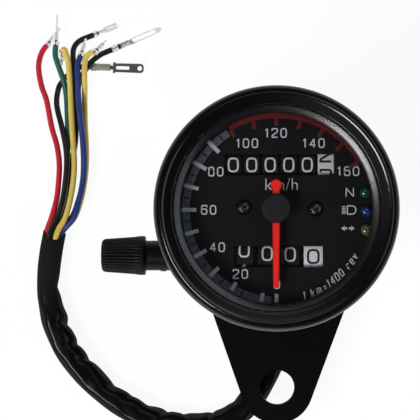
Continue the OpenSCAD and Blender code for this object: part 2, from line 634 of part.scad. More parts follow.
module reset_neck() color("#18181a") difference() {
    union() {
        rod_x(neck_r, neck_tip_x, -20.5, trip_y, drum_z);
        rod_x(neck_r + 0.25, -31.2, -29.8, trip_y, drum_z);
    }
    rod_x(axle_r + fit, neck_tip_x - 1, -20, trip_y, drum_z);
}

module reset_knob() color("#1a1a1c") along_x(knob_tip_x, trip_y, drum_z) difference() {
    union() {
        rotate_extrude($fn = 96) polygon([
            [0, 0], [knob_tip_d / 2 - 1.2, 0], [knob_tip_d / 2 - 0.35, 0.7],
            [knob_d / 2 - 0.35, knob_len], [0, knob_len]
        ]);
        for (k = [0:knob_ribs - 1]) rotate(360 * k / knob_ribs) knob_rib();
    }
    translate([0, 0, neck_tip_x - knob_tip_x - 0.3]) cylinder(r = neck_r + 0.3, h = knob_len);
    translate([0, 0, stem_tip_x - knob_tip_x]) cylinder(r = axle_r + 0.02, h = knob_len);
}
module knob_rib() rotate([90, 0, 0]) linear_extrude(height = 0.45, center = true) polygon([
    [2.5, 0.5], [knob_tip_d / 2 - 0.3, 0.7], [knob_tip_d / 2, 1.2], [knob_d / 2, knob_len - 0.4],
    [knob_d / 2 - 0.5, knob_len - 0.4]
]);

housing();
bezel_ring();
lens();
lens_gasket();
trim_ring();
dial_plate();
dial_screws();
cable_nipple();
mounting_studs();
rubber_cushions();
stud_washers();
stud_nuts();
case_screws();
bracket();
harness_grommet();
harness_sleeve();
lead_wires();
lead_terminals();
lamp_green();
lamp_blue();
lamp_amber();
lamp_holder();
lamp_sockets();
dial_bulbs();
mechanism_frame();
bridge_plate();
drive_shaft();
drive_magnet();
speed_cup();
pointer_spindle();
hairspring();
pointer();
pointer_cap();
cross_shaft();
tower_shaft();
trip_tower_shaft();
odometer_axle();
for (k = [1:odo_count]) odometer_drum(k);
trip_axle();
trip_wheel();
for (k = [1:trip_count]) trip_drum(k);
carrier_plates();
for (k = [1:odo_count - 1]) odometer_pinion(k);
for (k = [1:trip_count - 1]) trip_pinion(k);
reset_neck();
reset_knob();
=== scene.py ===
"""Looks of a cable-driven motorcycle speedometer: case, dial, counters, reset knob, bracket and harness."""

import math

import bmesh
import bpy
from mathutils import Matrix, Vector, noise


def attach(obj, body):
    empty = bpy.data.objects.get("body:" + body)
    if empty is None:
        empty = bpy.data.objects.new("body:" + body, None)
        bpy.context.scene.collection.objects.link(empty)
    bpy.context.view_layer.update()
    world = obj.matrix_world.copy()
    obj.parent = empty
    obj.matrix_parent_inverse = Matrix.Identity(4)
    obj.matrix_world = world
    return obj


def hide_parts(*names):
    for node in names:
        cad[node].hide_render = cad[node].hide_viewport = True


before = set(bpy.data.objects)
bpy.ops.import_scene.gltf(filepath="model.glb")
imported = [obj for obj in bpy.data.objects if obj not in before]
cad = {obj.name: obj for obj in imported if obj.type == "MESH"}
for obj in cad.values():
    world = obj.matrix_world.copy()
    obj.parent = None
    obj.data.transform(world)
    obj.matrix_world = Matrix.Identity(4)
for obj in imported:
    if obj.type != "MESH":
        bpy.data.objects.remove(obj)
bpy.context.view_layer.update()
scene = bpy.context.scene
MM = 0.001
UP = Vector((0, 0, 1))
AIM = UP * 0.05  # where the lamps point, in metres


# The bench: camera and lamps


def stand_camera():
    """Looks straight down from 510 mm above the pointer's axis, with the gauge right of the picture's middle."""
    lens = bpy.data.cameras.new("bench_camera")
    lens.sensor_width, lens.lens = 36, 147.34
    stand = bpy.data.objects.new("bench_camera", lens)
    stand.location = (0, 0, 0.510)
    stand.rotation_euler = (math.radians(-0.058), math.radians(2.207), 0)
    scene.collection.objects.link(stand)
    scene.camera = stand


def soft_box(name, bearing, height, reach, size, watts, tone):
    """A rectangular studio lamp aimed at the gauge: bearing and height in degrees, the rest in metres."""
    around, up = math.radians(bearing), math.radians(height)
    away = Vector((math.cos(up) * math.cos(around), math.cos(up) * math.sin(around), math.sin(up)))
    lamp = bpy.data.lights.new(name, "AREA")
    lamp.shape, lamp.size, lamp.size_y = "RECTANGLE", size[0], size[1]
    lamp.energy, lamp.color = watts, tone
    stand = bpy.data.objects.new(name, lamp)
    stand.location = away * reach + AIM
    stand.rotation_euler = away.to_track_quat("Z", "Y").to_euler()
    scene.collection.objects.link(stand)


# Finishes


def plug(tree, entry, value):
    """Links a signal to a socket, or sets the socket's own value."""
    if isinstance(value, Signal):
        tree.links.new(value.socket, entry)
    else:
        entry.default_value = (*value, 1) if entry.type == "RGBA" else value


class Signal:
    """A node's output. Python sums with it become Math nodes."""

    def __init__(self, tree, socket):
        self.tree, self.socket = tree, socket

    def sum(self, operation, *values):
        made = self.tree.nodes.new("ShaderNodeMath")
        made.operation = operation
        for entry, value in zip(made.inputs, values):
            plug(self.tree, entry, value)
        return Signal(self.tree, made.outputs[0])

    def __add__(self, other):
        return self.sum("ADD", self, other)

    def __sub__(self, other):
        return self.sum("SUBTRACT", self, other)

    def __rsub__(self, other):
        return self.sum("SUBTRACT", other, self)

    def __mul__(self, other):
        return self.sum("MULTIPLY", self, other)

    __radd__, __rmul__ = __add__, __mul__


class NodeBoard:
    """A node tree and the one method that adds to it."""

    def __init__(self, tree):
        self.tree = tree

    def node(self, kind, settings=None, entries=None, out=0):
        """Adds a node: its settings first, then its sockets. Gives the output asked for."""
        made = self.tree.nodes.new("ShaderNode" + kind)
        for name, value in (settings or {}).items():
            if name == "stops":
                stops = made.color_ramp.elements
                stops.remove(stops[1])
                stops[0].position, stops[0].color = value[0][0], (*value[0][1], 1)
                for place, tone in value[1:]:
                    stops.new(place).color = (*tone, 1)
            else:
                setattr(made, name, value)
        for name, value in (entries or {}).items():
            plug(self.tree, made.inputs[name], value)
        return Signal(self.tree, made.outputs[out])


class Finish(NodeBoard):
    """A material. Values that are the same all over go on the shader's sockets, and feed() links the rest."""

    def __init__(self, name, settings):
        self.material = bpy.data.materials.new(name)
        self.material.use_nodes = True
        super().__init__(self.material.node_tree)
        for entry, value in settings.items():
            self.feed(entry, value)

    def feed(self, entry, value):
        plug(self.tree, self.tree.nodes["Principled BSDF"].inputs[entry], value)

    def surface(self, colour, roughness, normal):
        """Feeds what nearly every finish varies."""
        self.feed("Base Color", colour)
        self.feed("Roughness", roughness)
        self.feed("Normal", normal)
        return self

    def place(self):
        """The point on the piece, in metres."""
        return self.node("TexCoord", out=3)

    def stretched(self, *scale):
        """The point with each axis scaled, for brushed or streaked marks."""
        return self.node("Mapping", entries={"Vector": self.place(), "Scale": scale})

    def speckle(self, scale, detail=3, roughness=0.55, at=None):
        entries = {"Vector": at or self.place(), "Scale": scale, "Detail": detail, "Roughness": roughness}
        return self.node("TexNoise", entries=entries)

    def spread(self, value, start, end, low=0.3, high=0.7):
        """Goes from start to end while value goes from low to high, clamped."""
        entries = {"Value": value, "From Min": low, "From Max": high, "To Min": start, "To Max": end}
        return self.node("MapRange", entries=entries)

    def mask(self, value, none, whole):
        """0 where value is at none, 1 where it is at whole."""
        return self.spread(value, 0.0, 1.0, none, whole)

    def tones(self, value, dark, light, low=0.3, high=0.7):
        return self.node("ValToRGB", {"stops": ((low, dark), (high, light))}, {0: value})

    def mix(self, mask, first, second):
        return self.node("Mix", {"data_type": "RGBA"}, {0: mask, 6: first, 7: second}, out=2)

    def relief(self, height, distance, **under):
        """A Bump node whose full height is distance, in metres. Normal is what lies under it."""
        return self.node("Bump", entries={"Height": height, "Distance": distance, "Strength": 1.0, **under})

    def glance(self, blend=0.5):
        """0 where the surface is seen square on, 1 at its edges."""
        return self.node("LayerWeight", entries={"Blend": blend}, out=1)


def times(tone, factor):
    return [channel * factor for channel in tone]


def gloss_black(name, tone, roughness, peel, coat, wiping, shine):
    """Stoved gloss enamel: a slight orange peel, dust specks and fine wiping marks."""
    f = Finish(name, {"Coat Weight": coat, "Coat Roughness": 0.05, "Specular IOR Level": shine})
    dust = f.mask(f.speckle(5200, 2, 0.7), 0.76, 0.82)
    enamel = f.tones(f.speckle(120, 4), times(tone, 0.8), times(tone, 1.25))
    wiped = f.speckle(60, 5, 0.7, f.stretched(6, 60, 6))
    smooth, smeared = roughness * (1 - 0.2 * wiping), roughness * (1 + 0.3 * wiping)
    return f.surface(
        f.mix(dust * 0.35, enamel, (0.05, 0.048, 0.045)),
        f.spread(wiped, smooth, smeared, 0.3, 0.75) + dust * 0.2 * wiping,
        f.relief(f.speckle(420, 2, 0.4), peel),
    )


def satin_black(name, tone, roughness, grain, scale, shine):
    """Powder coat or moulded plastic: a fine even grain and faint handling marks."""
    f = Finish(name, {"Specular IOR Level": shine})
    fine, broad = f.speckle(scale, 3, 0.6), f.speckle(95, 4, 0.6)
    rubbed = f.mask(broad, 0.55, 0.8)
    return f.surface(
        f.mix(rubbed * 0.5, f.tones(fine, times(tone, 0.75), times(tone, 1.3), high=0.72), times(tone, 1.5)),
        f.spread(fine, roughness * 0.88, roughness * 1.12) - rubbed * 0.06,
        f.relief(fine, grain, Normal=f.relief(broad, grain * 1.5)),
    )


def metal(name, tone, roughness, stain=None, along=(1, 1, 1), marks=1400, depth=2e-6, plated=1.0, painted_glow=0.0):
    """Plain or plated metal: brushed or barrel marks and a little stain. The last argument adds a painted glow: the
    metal emits its own colour, so it looks a little overexposed.
    """
    f = Finish(name, {"Metallic": plated, "Emission Strength": painted_glow})
    marked = f.speckle(marks, 4, 0.65, f.stretched(*along))
    stained = f.mask(f.speckle(210, 3, 0.6), 0.5, 0.78)
    base = f.mix(stained * 0.6, f.tones(marked, times(tone, 0.82), tone), stain or times(tone, 0.6))
    # painted glow: the metal emits its own base colour, as if overexposed
    if painted_glow:
        f.feed("Emission Color", base)
    rough = f.spread(marked, roughness * 0.7, roughness * 1.3, 0.25, 0.75) + stained * 0.1
    return f.surface(base, rough, f.relief(marked, depth))


def lead_vinyl(colour, tone, dark):
    """Extruded PVC insulation: soft gloss, faint flow lines and handling scuffs."""
    f = Finish("lead_vinyl_" + colour, {"Coat Weight": 0.1, "Coat Roughness": 0.3, "Specular IOR Level": 0.4})
    cloud = f.speckle(260, 3, 0.5)
    scuff = f.mask(f.speckle(1500, 4, 0.7), 0.62, 0.78)
    scuffed = [min(1, channel * 1.25 + 0.02) for channel in tone]
    return f.surface(
        f.mix(scuff * 0.35, f.tones(cloud, dark, tone, 0.32, 0.68), scuffed),
        f.spread(cloud, 0.36, 0.48) + scuff * 0.15,
        f.relief(f.speckle(900, 3, 0.6), 1.2e-5),
    )


def sleeve_vinyl():
    """Thin shrunk PVC: a greasy shine, soft crush dents and a fine drag grain along it."""
    f = Finish("sleeve_pvc_black", {"Specular IOR Level": 0.0, "Coat Roughness": 0.22})
    dents = f.speckle(150, 2, 0.5, f.stretched(1, 1, 1.5))
    drag = f.speckle(900, 3, 0.6, f.stretched(1, 1, 0.5))
    cloud = f.speckle(75, 4, 0.6)
    shrunk_tight = f.mask(f.node("SeparateXYZ", entries={0: f.place()}, out=1), -0.034, -0.02)
    black = f.tones(cloud, (0.0032, 0.003, 0.0036), (0.007, 0.0066, 0.0074))
    shine = f.spread(cloud, 0.45, 0.3, 0.35, 0.68)
    f.feed("Coat Weight", (1 - f.glance() * 0.92) * (1 - shrunk_tight * 0.75) * shine)
    return f.surface(
        f.mix(shrunk_tight, black, (0.018, 0.0165, 0.0185)),
        f.spread(cloud, 0.4, 0.5, 0.35, 0.68),
        f.relief(drag, 4e-6, Normal=f.relief(dents, 4e-5)),
    )


def printed_ink(name, tone, wear=0.25):
    """Printed ink: slightly uneven cover over the black."""
    f = Finish(name, {"Specular IOR Level": 0.3})
    cover = f.speckle(5200, 3, 0.6)
    thin = f.mask(cover, 0.62, 0.8) * wear
    ink = f.tones(f.speckle(330, 2), times(tone, 0.9), tone)
    return f.surface(f.mix(thin, ink, times(tone, 0.45)), f.spread(cover, 0.5, 0.65), f.relief(cover, 4e-6))


def dial_paint():
    """Satin black paint with a few pale motes of dust."""
    f = Finish("dial_satin_black", {"Specular IOR Level": 0.12})
    fine, broad = f.speckle(4200, 3, 0.65), f.speckle(55)
    motes = f.node("TexVoronoi", entries={"Vector": f.place(), "Scale": 850})
    mote = f.mask(motes, 0.06, 0.02) * f.mask(f.speckle(210, 2), 0.58, 0.62)
    black = f.tones(fine * 0.6 + broad * 0.4, (0.0042, 0.0041, 0.0042), (0.0074, 0.0072, 0.0074), 0.35, 0.65)
    return f.surface(
        f.mix(mote * 0.4, black, (0.12, 0.115, 0.105)), f.spread(fine, 0.48, 0.6), f.relief(fine, 6e-6)
    )


def ribbed_knob():
    """Hard black plastic, its ribs worn a little by fingers."""
    f = Finish("knob_moulded_black", {"Specular IOR Level": 0.15})
    fine = f.speckle(3400, 3, 0.6)
    worn = f.mask(f.speckle(420), 0.5, 0.75)
    black = f.mix(worn * 0.6, (0.0028, 0.0027, 0.0027), (0.008, 0.0076, 0.0072))
    return f.surface(black, f.spread(fine, 0.36, 0.5) - worn * 0.08, f.relief(fine, 1.1e-5))


def rubber():
    """Matt rubber with a pale bloom."""
    f = Finish("rubber_black", {"Specular IOR Level": 0.4})
    fine = f.speckle(1900, 4, 0.7)
    bloom = f.mask(f.speckle(140, 4, 0.65), 0.5, 0.75)
    black = f.mix(bloom * 0.55, (0.011, 0.011, 0.0115), (0.042, 0.041, 0.04))
    return f.surface(black, f.spread(fine, 0.6, 0.78), f.relief(fine, 2.2e-5))


def clear_lens():
    """Flat glass: a mirror as strong as glass reflects at each angle, over clear, with faint smears."""
    f = Finish("lens_clear", {"Base Color": (1, 1, 1), "Metallic": 1.0})
    glance = f.glance()
    steep = glance * glance
    smear = f.mask(f.speckle(55, 5, 0.7, f.stretched(1, 3, 1)), 0.52, 0.8)
    f.feed("Alpha", steep * steep * glance * 0.8 + smear * 0.006 + 0.03)
    f.feed("Roughness", f.spread(smear, 0.03, 0.2, 0, 1))
    return f


def lamp_dome(colour, tone, deep):
    """A moulded coloured cap, unlit, with flow marks: its colour is painted lighter towards the rim as a painted
    sheen, and stays dark at its heart.
    """
    f = Finish("lamp_cap_" + colour, {"Coat Weight": 1.0, "Coat Roughness": 0.04})
    swirl = f.speckle(900, 3, 0.5)
    # painted sheen: the colour turns lighter where the cap is seen edge on, and the swirl adds real flow marks
    rim_sheen_and_flow = f.mask(f.glance(0.35), 0.1, 0.75) * 0.7 + f.mask(swirl, 0.4, 0.65) * 0.3
    return f.surface(f.mix(rim_sheen_and_flow, deep, tone), f.spread(swirl, 0.14, 0.26), f.relief(swirl, 1e-5))


def pointer_paint():
    """Red paint with a painted glow: it emits a little of its own colour."""
    f = Finish("pointer_red", {"Coat Weight": 0.25, "Coat Roughness": 0.2, "Emission Strength": 0.16})
    fine = f.speckle(2600, 3, 0.6)
    paint = f.tones(f.speckle(240) * 0.6 + fine * 0.4, (0.84, 0.014, 0.007), (0.95, 0.02, 0.011), 0.35, 0.65)
    # painted glow: the paint's own colour is fed to emission
    f.feed("Emission Color", paint)
    return f.surface(paint, f.spread(fine, 0.3, 0.42), f.relief(fine, 5e-6))


def moulding(name, settings, cloud_scale, dark, light, rough, grain_scale, grain):
    """Clouded glass or plastic."""
    f = Finish(name, settings)
    cloud = f.speckle(cloud_scale)
    return f.surface(f.tones(cloud, dark, light), f.spread(cloud, *rough), f.relief(f.speckle(grain_scale), grain))


def pale_table():
    """A matt white sheet that stays white out to its edges."""
    f = Finish("table_white", {"Emission Strength": 0.93, "Specular IOR Level": 0.1})
    cloud = f.speckle(14)
    f.feed("Base Color", f.tones(cloud, (0.11, 0.11, 0.11), (0.13, 0.13, 0.13)))
    f.feed("Emission Color", f.tones(cloud, (0.985, 0.985, 0.985), (1.0, 1.0, 1.0)))
    f.feed("Roughness", f.spread(cloud, 0.85, 0.95))
    return f


# The finishes of this gauge, by the slots they go to. Those of one piece only have names of their own

finishes = {
    "case_enamel": gloss_black("case_enamel_black", (0.0042, 0.004, 0.0043), 0.3, 5e-6, 0.12, 1.0, 0.3),
    "bezel_gloss": gloss_black("bezel_gloss_black", (0.0034, 0.0028, 0.0028), 0.17, 2e-7, 0.1, 0.4, 0.5),
    "trim_black": gloss_black("trim_moulded_gloss", (0.0045, 0.0045, 0.0055), 0.28, 1e-7, 0.0, 0.05, 0.85),
    "lens_glass": clear_lens(),
    "black_rubber": rubber(),
    "dial_black": dial_paint(),
    "drum_black": satin_black("drum_moulded_black", (0.0038, 0.0037, 0.004), 0.45, 5e-6, 2400, 0.2),
    "drum_white": satin_black("drum_moulded_white", (0.62, 0.63, 0.65), 0.5, 5e-6, 2400, 0.4),
    "cap_black": satin_black("hub_cap_matt", (0.017, 0.0173, 0.0185), 0.6, 8e-6, 3000, 0.15),
    "neck_black": satin_black("neck_satin_black", (0.003, 0.0028, 0.003), 0.42, 6e-6, 1800, 0.16),
    "holder_black": satin_black("holder_moulded_black", (0.007, 0.007, 0.007), 0.5, 9e-6, 2200, 0.25),
    "knob_black": ribbed_knob(),
    "pointer_red": pointer_paint(),
    "sleeve_pvc": sleeve_vinyl(),
    "screw_black": metal("screw_oxide_black", (0.13, 0.11, 0.085), 0.26, (0.04, 0.032, 0.024), depth=1e-6),
    "plated_steel": metal("zinc_plated_steel", (0.62, 0.6, 0.54), 0.3, (0.46, 0.42, 0.3)),
    "frame_alloy": metal("frame_die_cast", (0.5, 0.5, 0.51), 0.46, marks=900, depth=8e-6),
    "sheet_steel": metal("pressed_steel_sheet", (0.52, 0.52, 0.52), 0.36, along=(1, 18, 1)),
    "shaft_steel": metal("ground_steel_shaft", (0.6, 0.6, 0.61), 0.2, along=(3, 3, 40)),
    "magnet_iron": metal("magnet_sintered", (0.17, 0.165, 0.16), 0.5, marks=2200, depth=1.2e-5),
    "cup_aluminium": metal("spun_aluminium_cup", (0.76, 0.77, 0.78), 0.28, along=(6, 6, 60)),
    "gear_brass": metal("cut_brass", (0.72, 0.5, 0.2), 0.28, (0.42, 0.27, 0.11), (2, 20, 20)),
    # painted glow: the tinned terminals emit a little of their own pale colour
    "terminal_tin": metal(
        "terminal_tinned", (0.95, 0.94, 0.93), 0.4, (0.84, 0.8, 0.76), marks=2600, depth=5e-6, plated=0.2, painted_glow=0.2
    ),
    "lamp_green": lamp_dome("green", (0.014, 0.17, 0.065), (0.004, 0.05, 0.02)),
    "lamp_blue": lamp_dome("blue", (0.01, 0.06, 0.36), (0.003, 0.02, 0.14)),
    "lamp_amber": lamp_dome("amber", (0.24, 0.22, 0.045), (0.09, 0.08, 0.018)),
    "bulb_glass": moulding(
        "bulb_glass_cap", {"Coat Weight": 0.6, "Coat Roughness": 0.03}, 500,
        (0.62, 0.6, 0.5), (0.8, 0.78, 0.7), (0.08, 0.16), 500, 1e-5,
    ),
    "pinion_nylon": moulding(
        "pinion_nylon_white", {"Specular IOR Level": 0.45}, 700,
        (0.52, 0.5, 0.43), (0.66, 0.64, 0.57), (0.36, 0.5), 2600, 7e-6,
    ),
}
crimp_worn = metal(
    "terminal_crimp_worn", (0.5, 0.46, 0.43), 0.42, (0.24, 0.2, 0.18), marks=2600, depth=7e-6, plated=0.4
)
# painted glow: the pale brass tips emit a little of their own colour too
terminal_bronze = metal(
    "terminal_brass_pale", (0.72, 0.66, 0.58), 0.36, (0.4, 0.32, 0.22), marks=2600, depth=5e-6, plated=0.45, painted_glow=0.06
)
terminal_dark = metal(
    "terminal_dulled", (0.13, 0.12, 0.115), 0.46, (0.07, 0.065, 0.06), marks=2600, depth=6e-6, plated=0.5
)
copper_strands = metal("stranded_copper", (0.4, 0.25, 0.17), 0.4, (0.2, 0.12, 0.09), marks=3000, plated=0.7)
lead_finishes = {
    colour: lead_vinyl(colour, tone, dark)
    for colour, tone, dark in (
        ("red", (0.8, 0.013, 0.04), (0.64, 0.008, 0.027)),
        ("green", (0.007, 0.16, 0.12), (0.004, 0.11, 0.082)),
        ("blue", (0.022, 0.055, 0.3), (0.014, 0.036, 0.21)),
        ("yellow", (1.0, 0.76, 0.16), (0.94, 0.67, 0.11)),
        ("black", (0.01, 0.009, 0.01), (0.005, 0.0046, 0.005)),
    )
}
finishes["lead_pvc"] = lead_finishes["black"]
inks = {
    name: printed_ink("dial_ink_" + name, tone)
    for name, tone in (
        ("grey", (0.66, 0.69, 0.75)),
        ("tick", (0.48, 0.5, 0.56)),
        ("band", (0.094, 0.1, 0.122)),
        ("band_marks", (0.014, 0.015, 0.019)),
        ("red", (0.125, 0.004, 0.005)),
        ("fine_lettering", (0.72, 0.72, 0.72)),
    )
}
digit_pale = printed_ink("drum_digit_pale", (0.7, 0.685, 0.65), 0.15)
digit_black = printed_ink("drum_digit_black", (0.006, 0.006, 0.007), 0.1)
node_finishes = {
    "bracket": satin_black("bracket_powder_coat", (0.0024, 0.0021, 0.0017), 0.4, 9e-6, 1500, 0.1),
    "cable_nipple": metal("nipple_nickel", (0.55, 0.54, 0.51), 0.24, along=(1, 1, 14)),
    "carrier_plates": finishes["drum_black"],
    # painted light: a lighter copy of the white drum, brighter to make up for the shade it sits in inside the gauge
    "trip_drum_4": satin_black("drum_moulded_white_painted_light", (0.74, 0.75, 0.78), 0.45, 5e-6, 2400, 0.6),
}


def finish_the_cad():
    """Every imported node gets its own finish, or its slot's."""
    for name, node in cad.items():
        for entry in node.material_slots:
            entry.material = node_finishes.get(name, finishes[entry.material.name.split(".")[0]]).material


# Shapes, all in millimetres


def piece(name, points, faces, body, finish, sharp=38):
    """A mesh piece that rides on a body. Edges bent by more than sharp degrees stay crisp."""
    mesh = bpy.data.meshes.new(name)
    mesh.from_pydata([Vector(p) * MM for p in points], [], faces)
    mesh.validate()
    mesh.materials.append(finish.material)
    mesh.polygons.foreach_set("use_smooth", [True] * len(mesh.polygons))
    made = bpy.data.objects.new(name, mesh)
    scene.collection.objects.link(made)
    work = bmesh.new()
    work.from_mesh(mesh)
    bmesh.ops.recalc_face_normals(work, faces=work.faces)
    work.to_mesh(mesh)
    work.free()
    mesh.set_sharp_from_angle(angle=math.radians(sharp))
    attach(made, body)
    return made


def arc(x, y, radius, degrees):
    return [(x + radius * math.cos(a), y + radius * math.sin(a)) for a in map(math.radians, degrees)]


def eased(corners, closed=False, steps=7):
    """A line through corners (x, y, radius), each rounded off by its radius."""
    line = []
    for i, corner in enumerate(corners):
        here, radius = Vector(corner[:2]), corner[2] if len(corner) > 2 else 0
        if not radius or (not closed and i in (0, len(corners) - 1)):
            line.append(tuple(here))
            continue
        back = Vector(corners[i - 1][:2]) - here
        on = Vector(corners[(i + 1) % len(corners)][:2]) - here
        reach = min(radius / max(math.tan(back.angle(on) / 2), 1e-4), back.length * 0.499, on.length * 0.499)
        start, end = here + back.normalized() * reach, here + on.normalized() * reach
        for t in (k / steps for k in range(steps + 1)):
            line.append(tuple(start * (1 - t) ** 2 + here * 2 * t * (1 - t) + end * t * t))
    return line


def lathe(profile, turns, closed=True):
    """Points and faces of a profile (r, z) turned about the Z axis."""
    points, faces, count = [], [], len(profile)
    for k in range(turns):
        a = math.tau * k / turns
        points += [(r * math.cos(a), r * math.sin(a), z) for r, z in profile]
        for i in range(count if closed else count - 1):
            j, n = (i + 1) % count, (k + 1) % turns
            faces.append((k * count + i, n * count + i, n * count + j, k * count + j))
    return points, faces


def dome(profile, turns):
    """Like lathe, for a profile that starts and ends on the axis."""
    points, faces = lathe(profile[1:-1], turns, closed=False)
    count, first = len(profile) - 2, len(points)
    points += [(0, 0, profile[0][1]), (0, 0, profile[-1][1])]
    for k in range(turns):
        n = (k + 1) % turns
        faces += [(first, n * count, k * count), (first + 1, k * count + count - 1, n * count + count - 1)]
    return points, faces


def skin(rings, around, first=0):
    """Quads between rings of around points each. The first point of all has the number first."""
    faces = []
    for i in range(rings - 1):
        for k in range(around):
            a, b = first + i * around + k, first + i * around + (k + 1) % around
            faces.append((a, b, b + around, a + around))
    return faces


def moved(shape, shift, turn=None):
    turn = turn or Matrix.Identity(3)
    return [tuple(turn @ Vector(p) + Vector(shift)) for p in shape[0]], shape[1]


def along_x(shape):
    """A shape turned about Z, laid along X."""
    return [(z, y, x) for x, y, z in shape[0]], shape[1]


def joined(*shapes):
    """Several (points, faces) as one."""
    points, faces = [], []
    for more, sides in shapes:
        faces += [tuple(i + len(points) for i in f) for f in sides]
        points += more
    return points, faces


def mitre(before, after, least):
    """The step to the right of a bend, for an offset of 1. least keeps a sharp bend's step short."""
    out = Vector((before.y + after.y, -before.x - after.x)).normalized()
    return out / max(least, out.dot(Vector((before.y, -before.x))))


def plate(outline, low, high, ease):
    """A flat outline from low to high, its upper edge bevelled by ease."""
    count = len(outline)
    flat = [Vector(p) for p in outline]
    inset = []
    for i, here in enumerate(flat):
        a, b = (here - flat[i - 1]).normalized(), (flat[(i + 1) % count] - here).normalized()
        inset.append(here - mitre(a, b, 0.5) * ease)
    rings = (flat, low), (flat, high - ease), (inset, high)
    points = [(p.x, p.y, z) for ring, z in rings for p in ring]
    return points, [tuple(reversed(range(count))), *skin(3, count), tuple(range(2 * count, 3 * count))]


def ribbon(line, width, closed=False):
    """A flat strip of that width along a line, as points (x, y) and faces."""
    count, still = len(line), 1e-6
    flat = [Vector(p) for p in line]
    points = []
    for i, here in enumerate(flat):
        before = flat[i - 1] if closed or i else here
        after = flat[(i + 1) % count] if closed or i < count - 1 else here
        a = (here - before).normalized() if (here - before).length > still else (after - here).normalized()
        b = (after - here).normalized() if (after - here).length > still else a
        step = mitre(a, b, 0.45) * (width / 2)
        points += [tuple(here + step), tuple(here - step)]
    ends = ((i, (i + 1) % count) for i in range(count if closed else count - 1))
    return points, [(2 * i, 2 * j, 2 * j + 1, 2 * i + 1) for i, j in ends]


def smooth_route(corners, count):
    """A smooth line of count evenly spaced points through the corners, ends included, and its length."""
    line = [Vector(p) for p in corners]
    line = [line[0] * 2 - line[1], *line, line[-1] * 2 - line[-2]]
    dense, cuts = [], 24
    for p0, p1, p2, p3 in zip(line, line[1:], line[2:], line[3:]):
        bend, twist = 2 * p0 - 5 * p1 + 4 * p2 - p3, 3 * p1 - p0 - 3 * p2 + p3
        for t in (k / cuts for k in range(cuts)):
            dense.append(0.5 * (2 * p1 + (p2 - p0) * t + bend * t * t + twist * t**3))
    dense.append(line[-2])
    runs = [0.0]
    for a, b in zip(dense, dense[1:]):
        runs.append(runs[-1] + (b - a).length)
    made, j = [], 0
    for k in range(count):
        goal = runs[-1] * k / (count - 1)
        while j < len(runs) - 2 and runs[j + 1] < goal:
            j += 1
        t = (goal - runs[j]) / max(runs[j + 1] - runs[j], 1e-9)
        made.append(dense[j].lerp(dense[j + 1], min(max(t, 0), 1)))
    return made, runs[-1]


# The harness, made first: routes repeat the part's own points, in millimetres

SLEEVE_ROUTE = [
    (3.576, -22.313, 4.3), (2.6, -31.8, 3.6), (0.3, -41, 3.5), (-3.6, -50.3, 3.5), (-9, -58.6, 3.5), (-17, -63.6, 3.5),
    (-26.4, -64.5, 3.5), (-36, -62.7, 3.5), (-45.5, -58.1, 3.5), (-54.2, -51.1, 3.5), (-60.9, -43.3, 3.5),
    (-65, -35.2, 3.5), (-67.1, -27, 3.5), (-67.3, -19.5, 3.5), (-66.6, -13, 3.5), (-65.5, -7, 3.5),
]
SLEEVE_R, LEAD_R = 3.5, 0.85
MOUTH = Vector(SLEEVE_ROUTE[-1])
MOUTH_HEADING = Vector((0.18033, 0.98361, 0))
MOUTH_SIDE = MOUTH_HEADING.cross(UP)
LEAD_START, LEAD_KNOTS = 7, 38  # how far inside the mouth a lead starts, and its curve's points

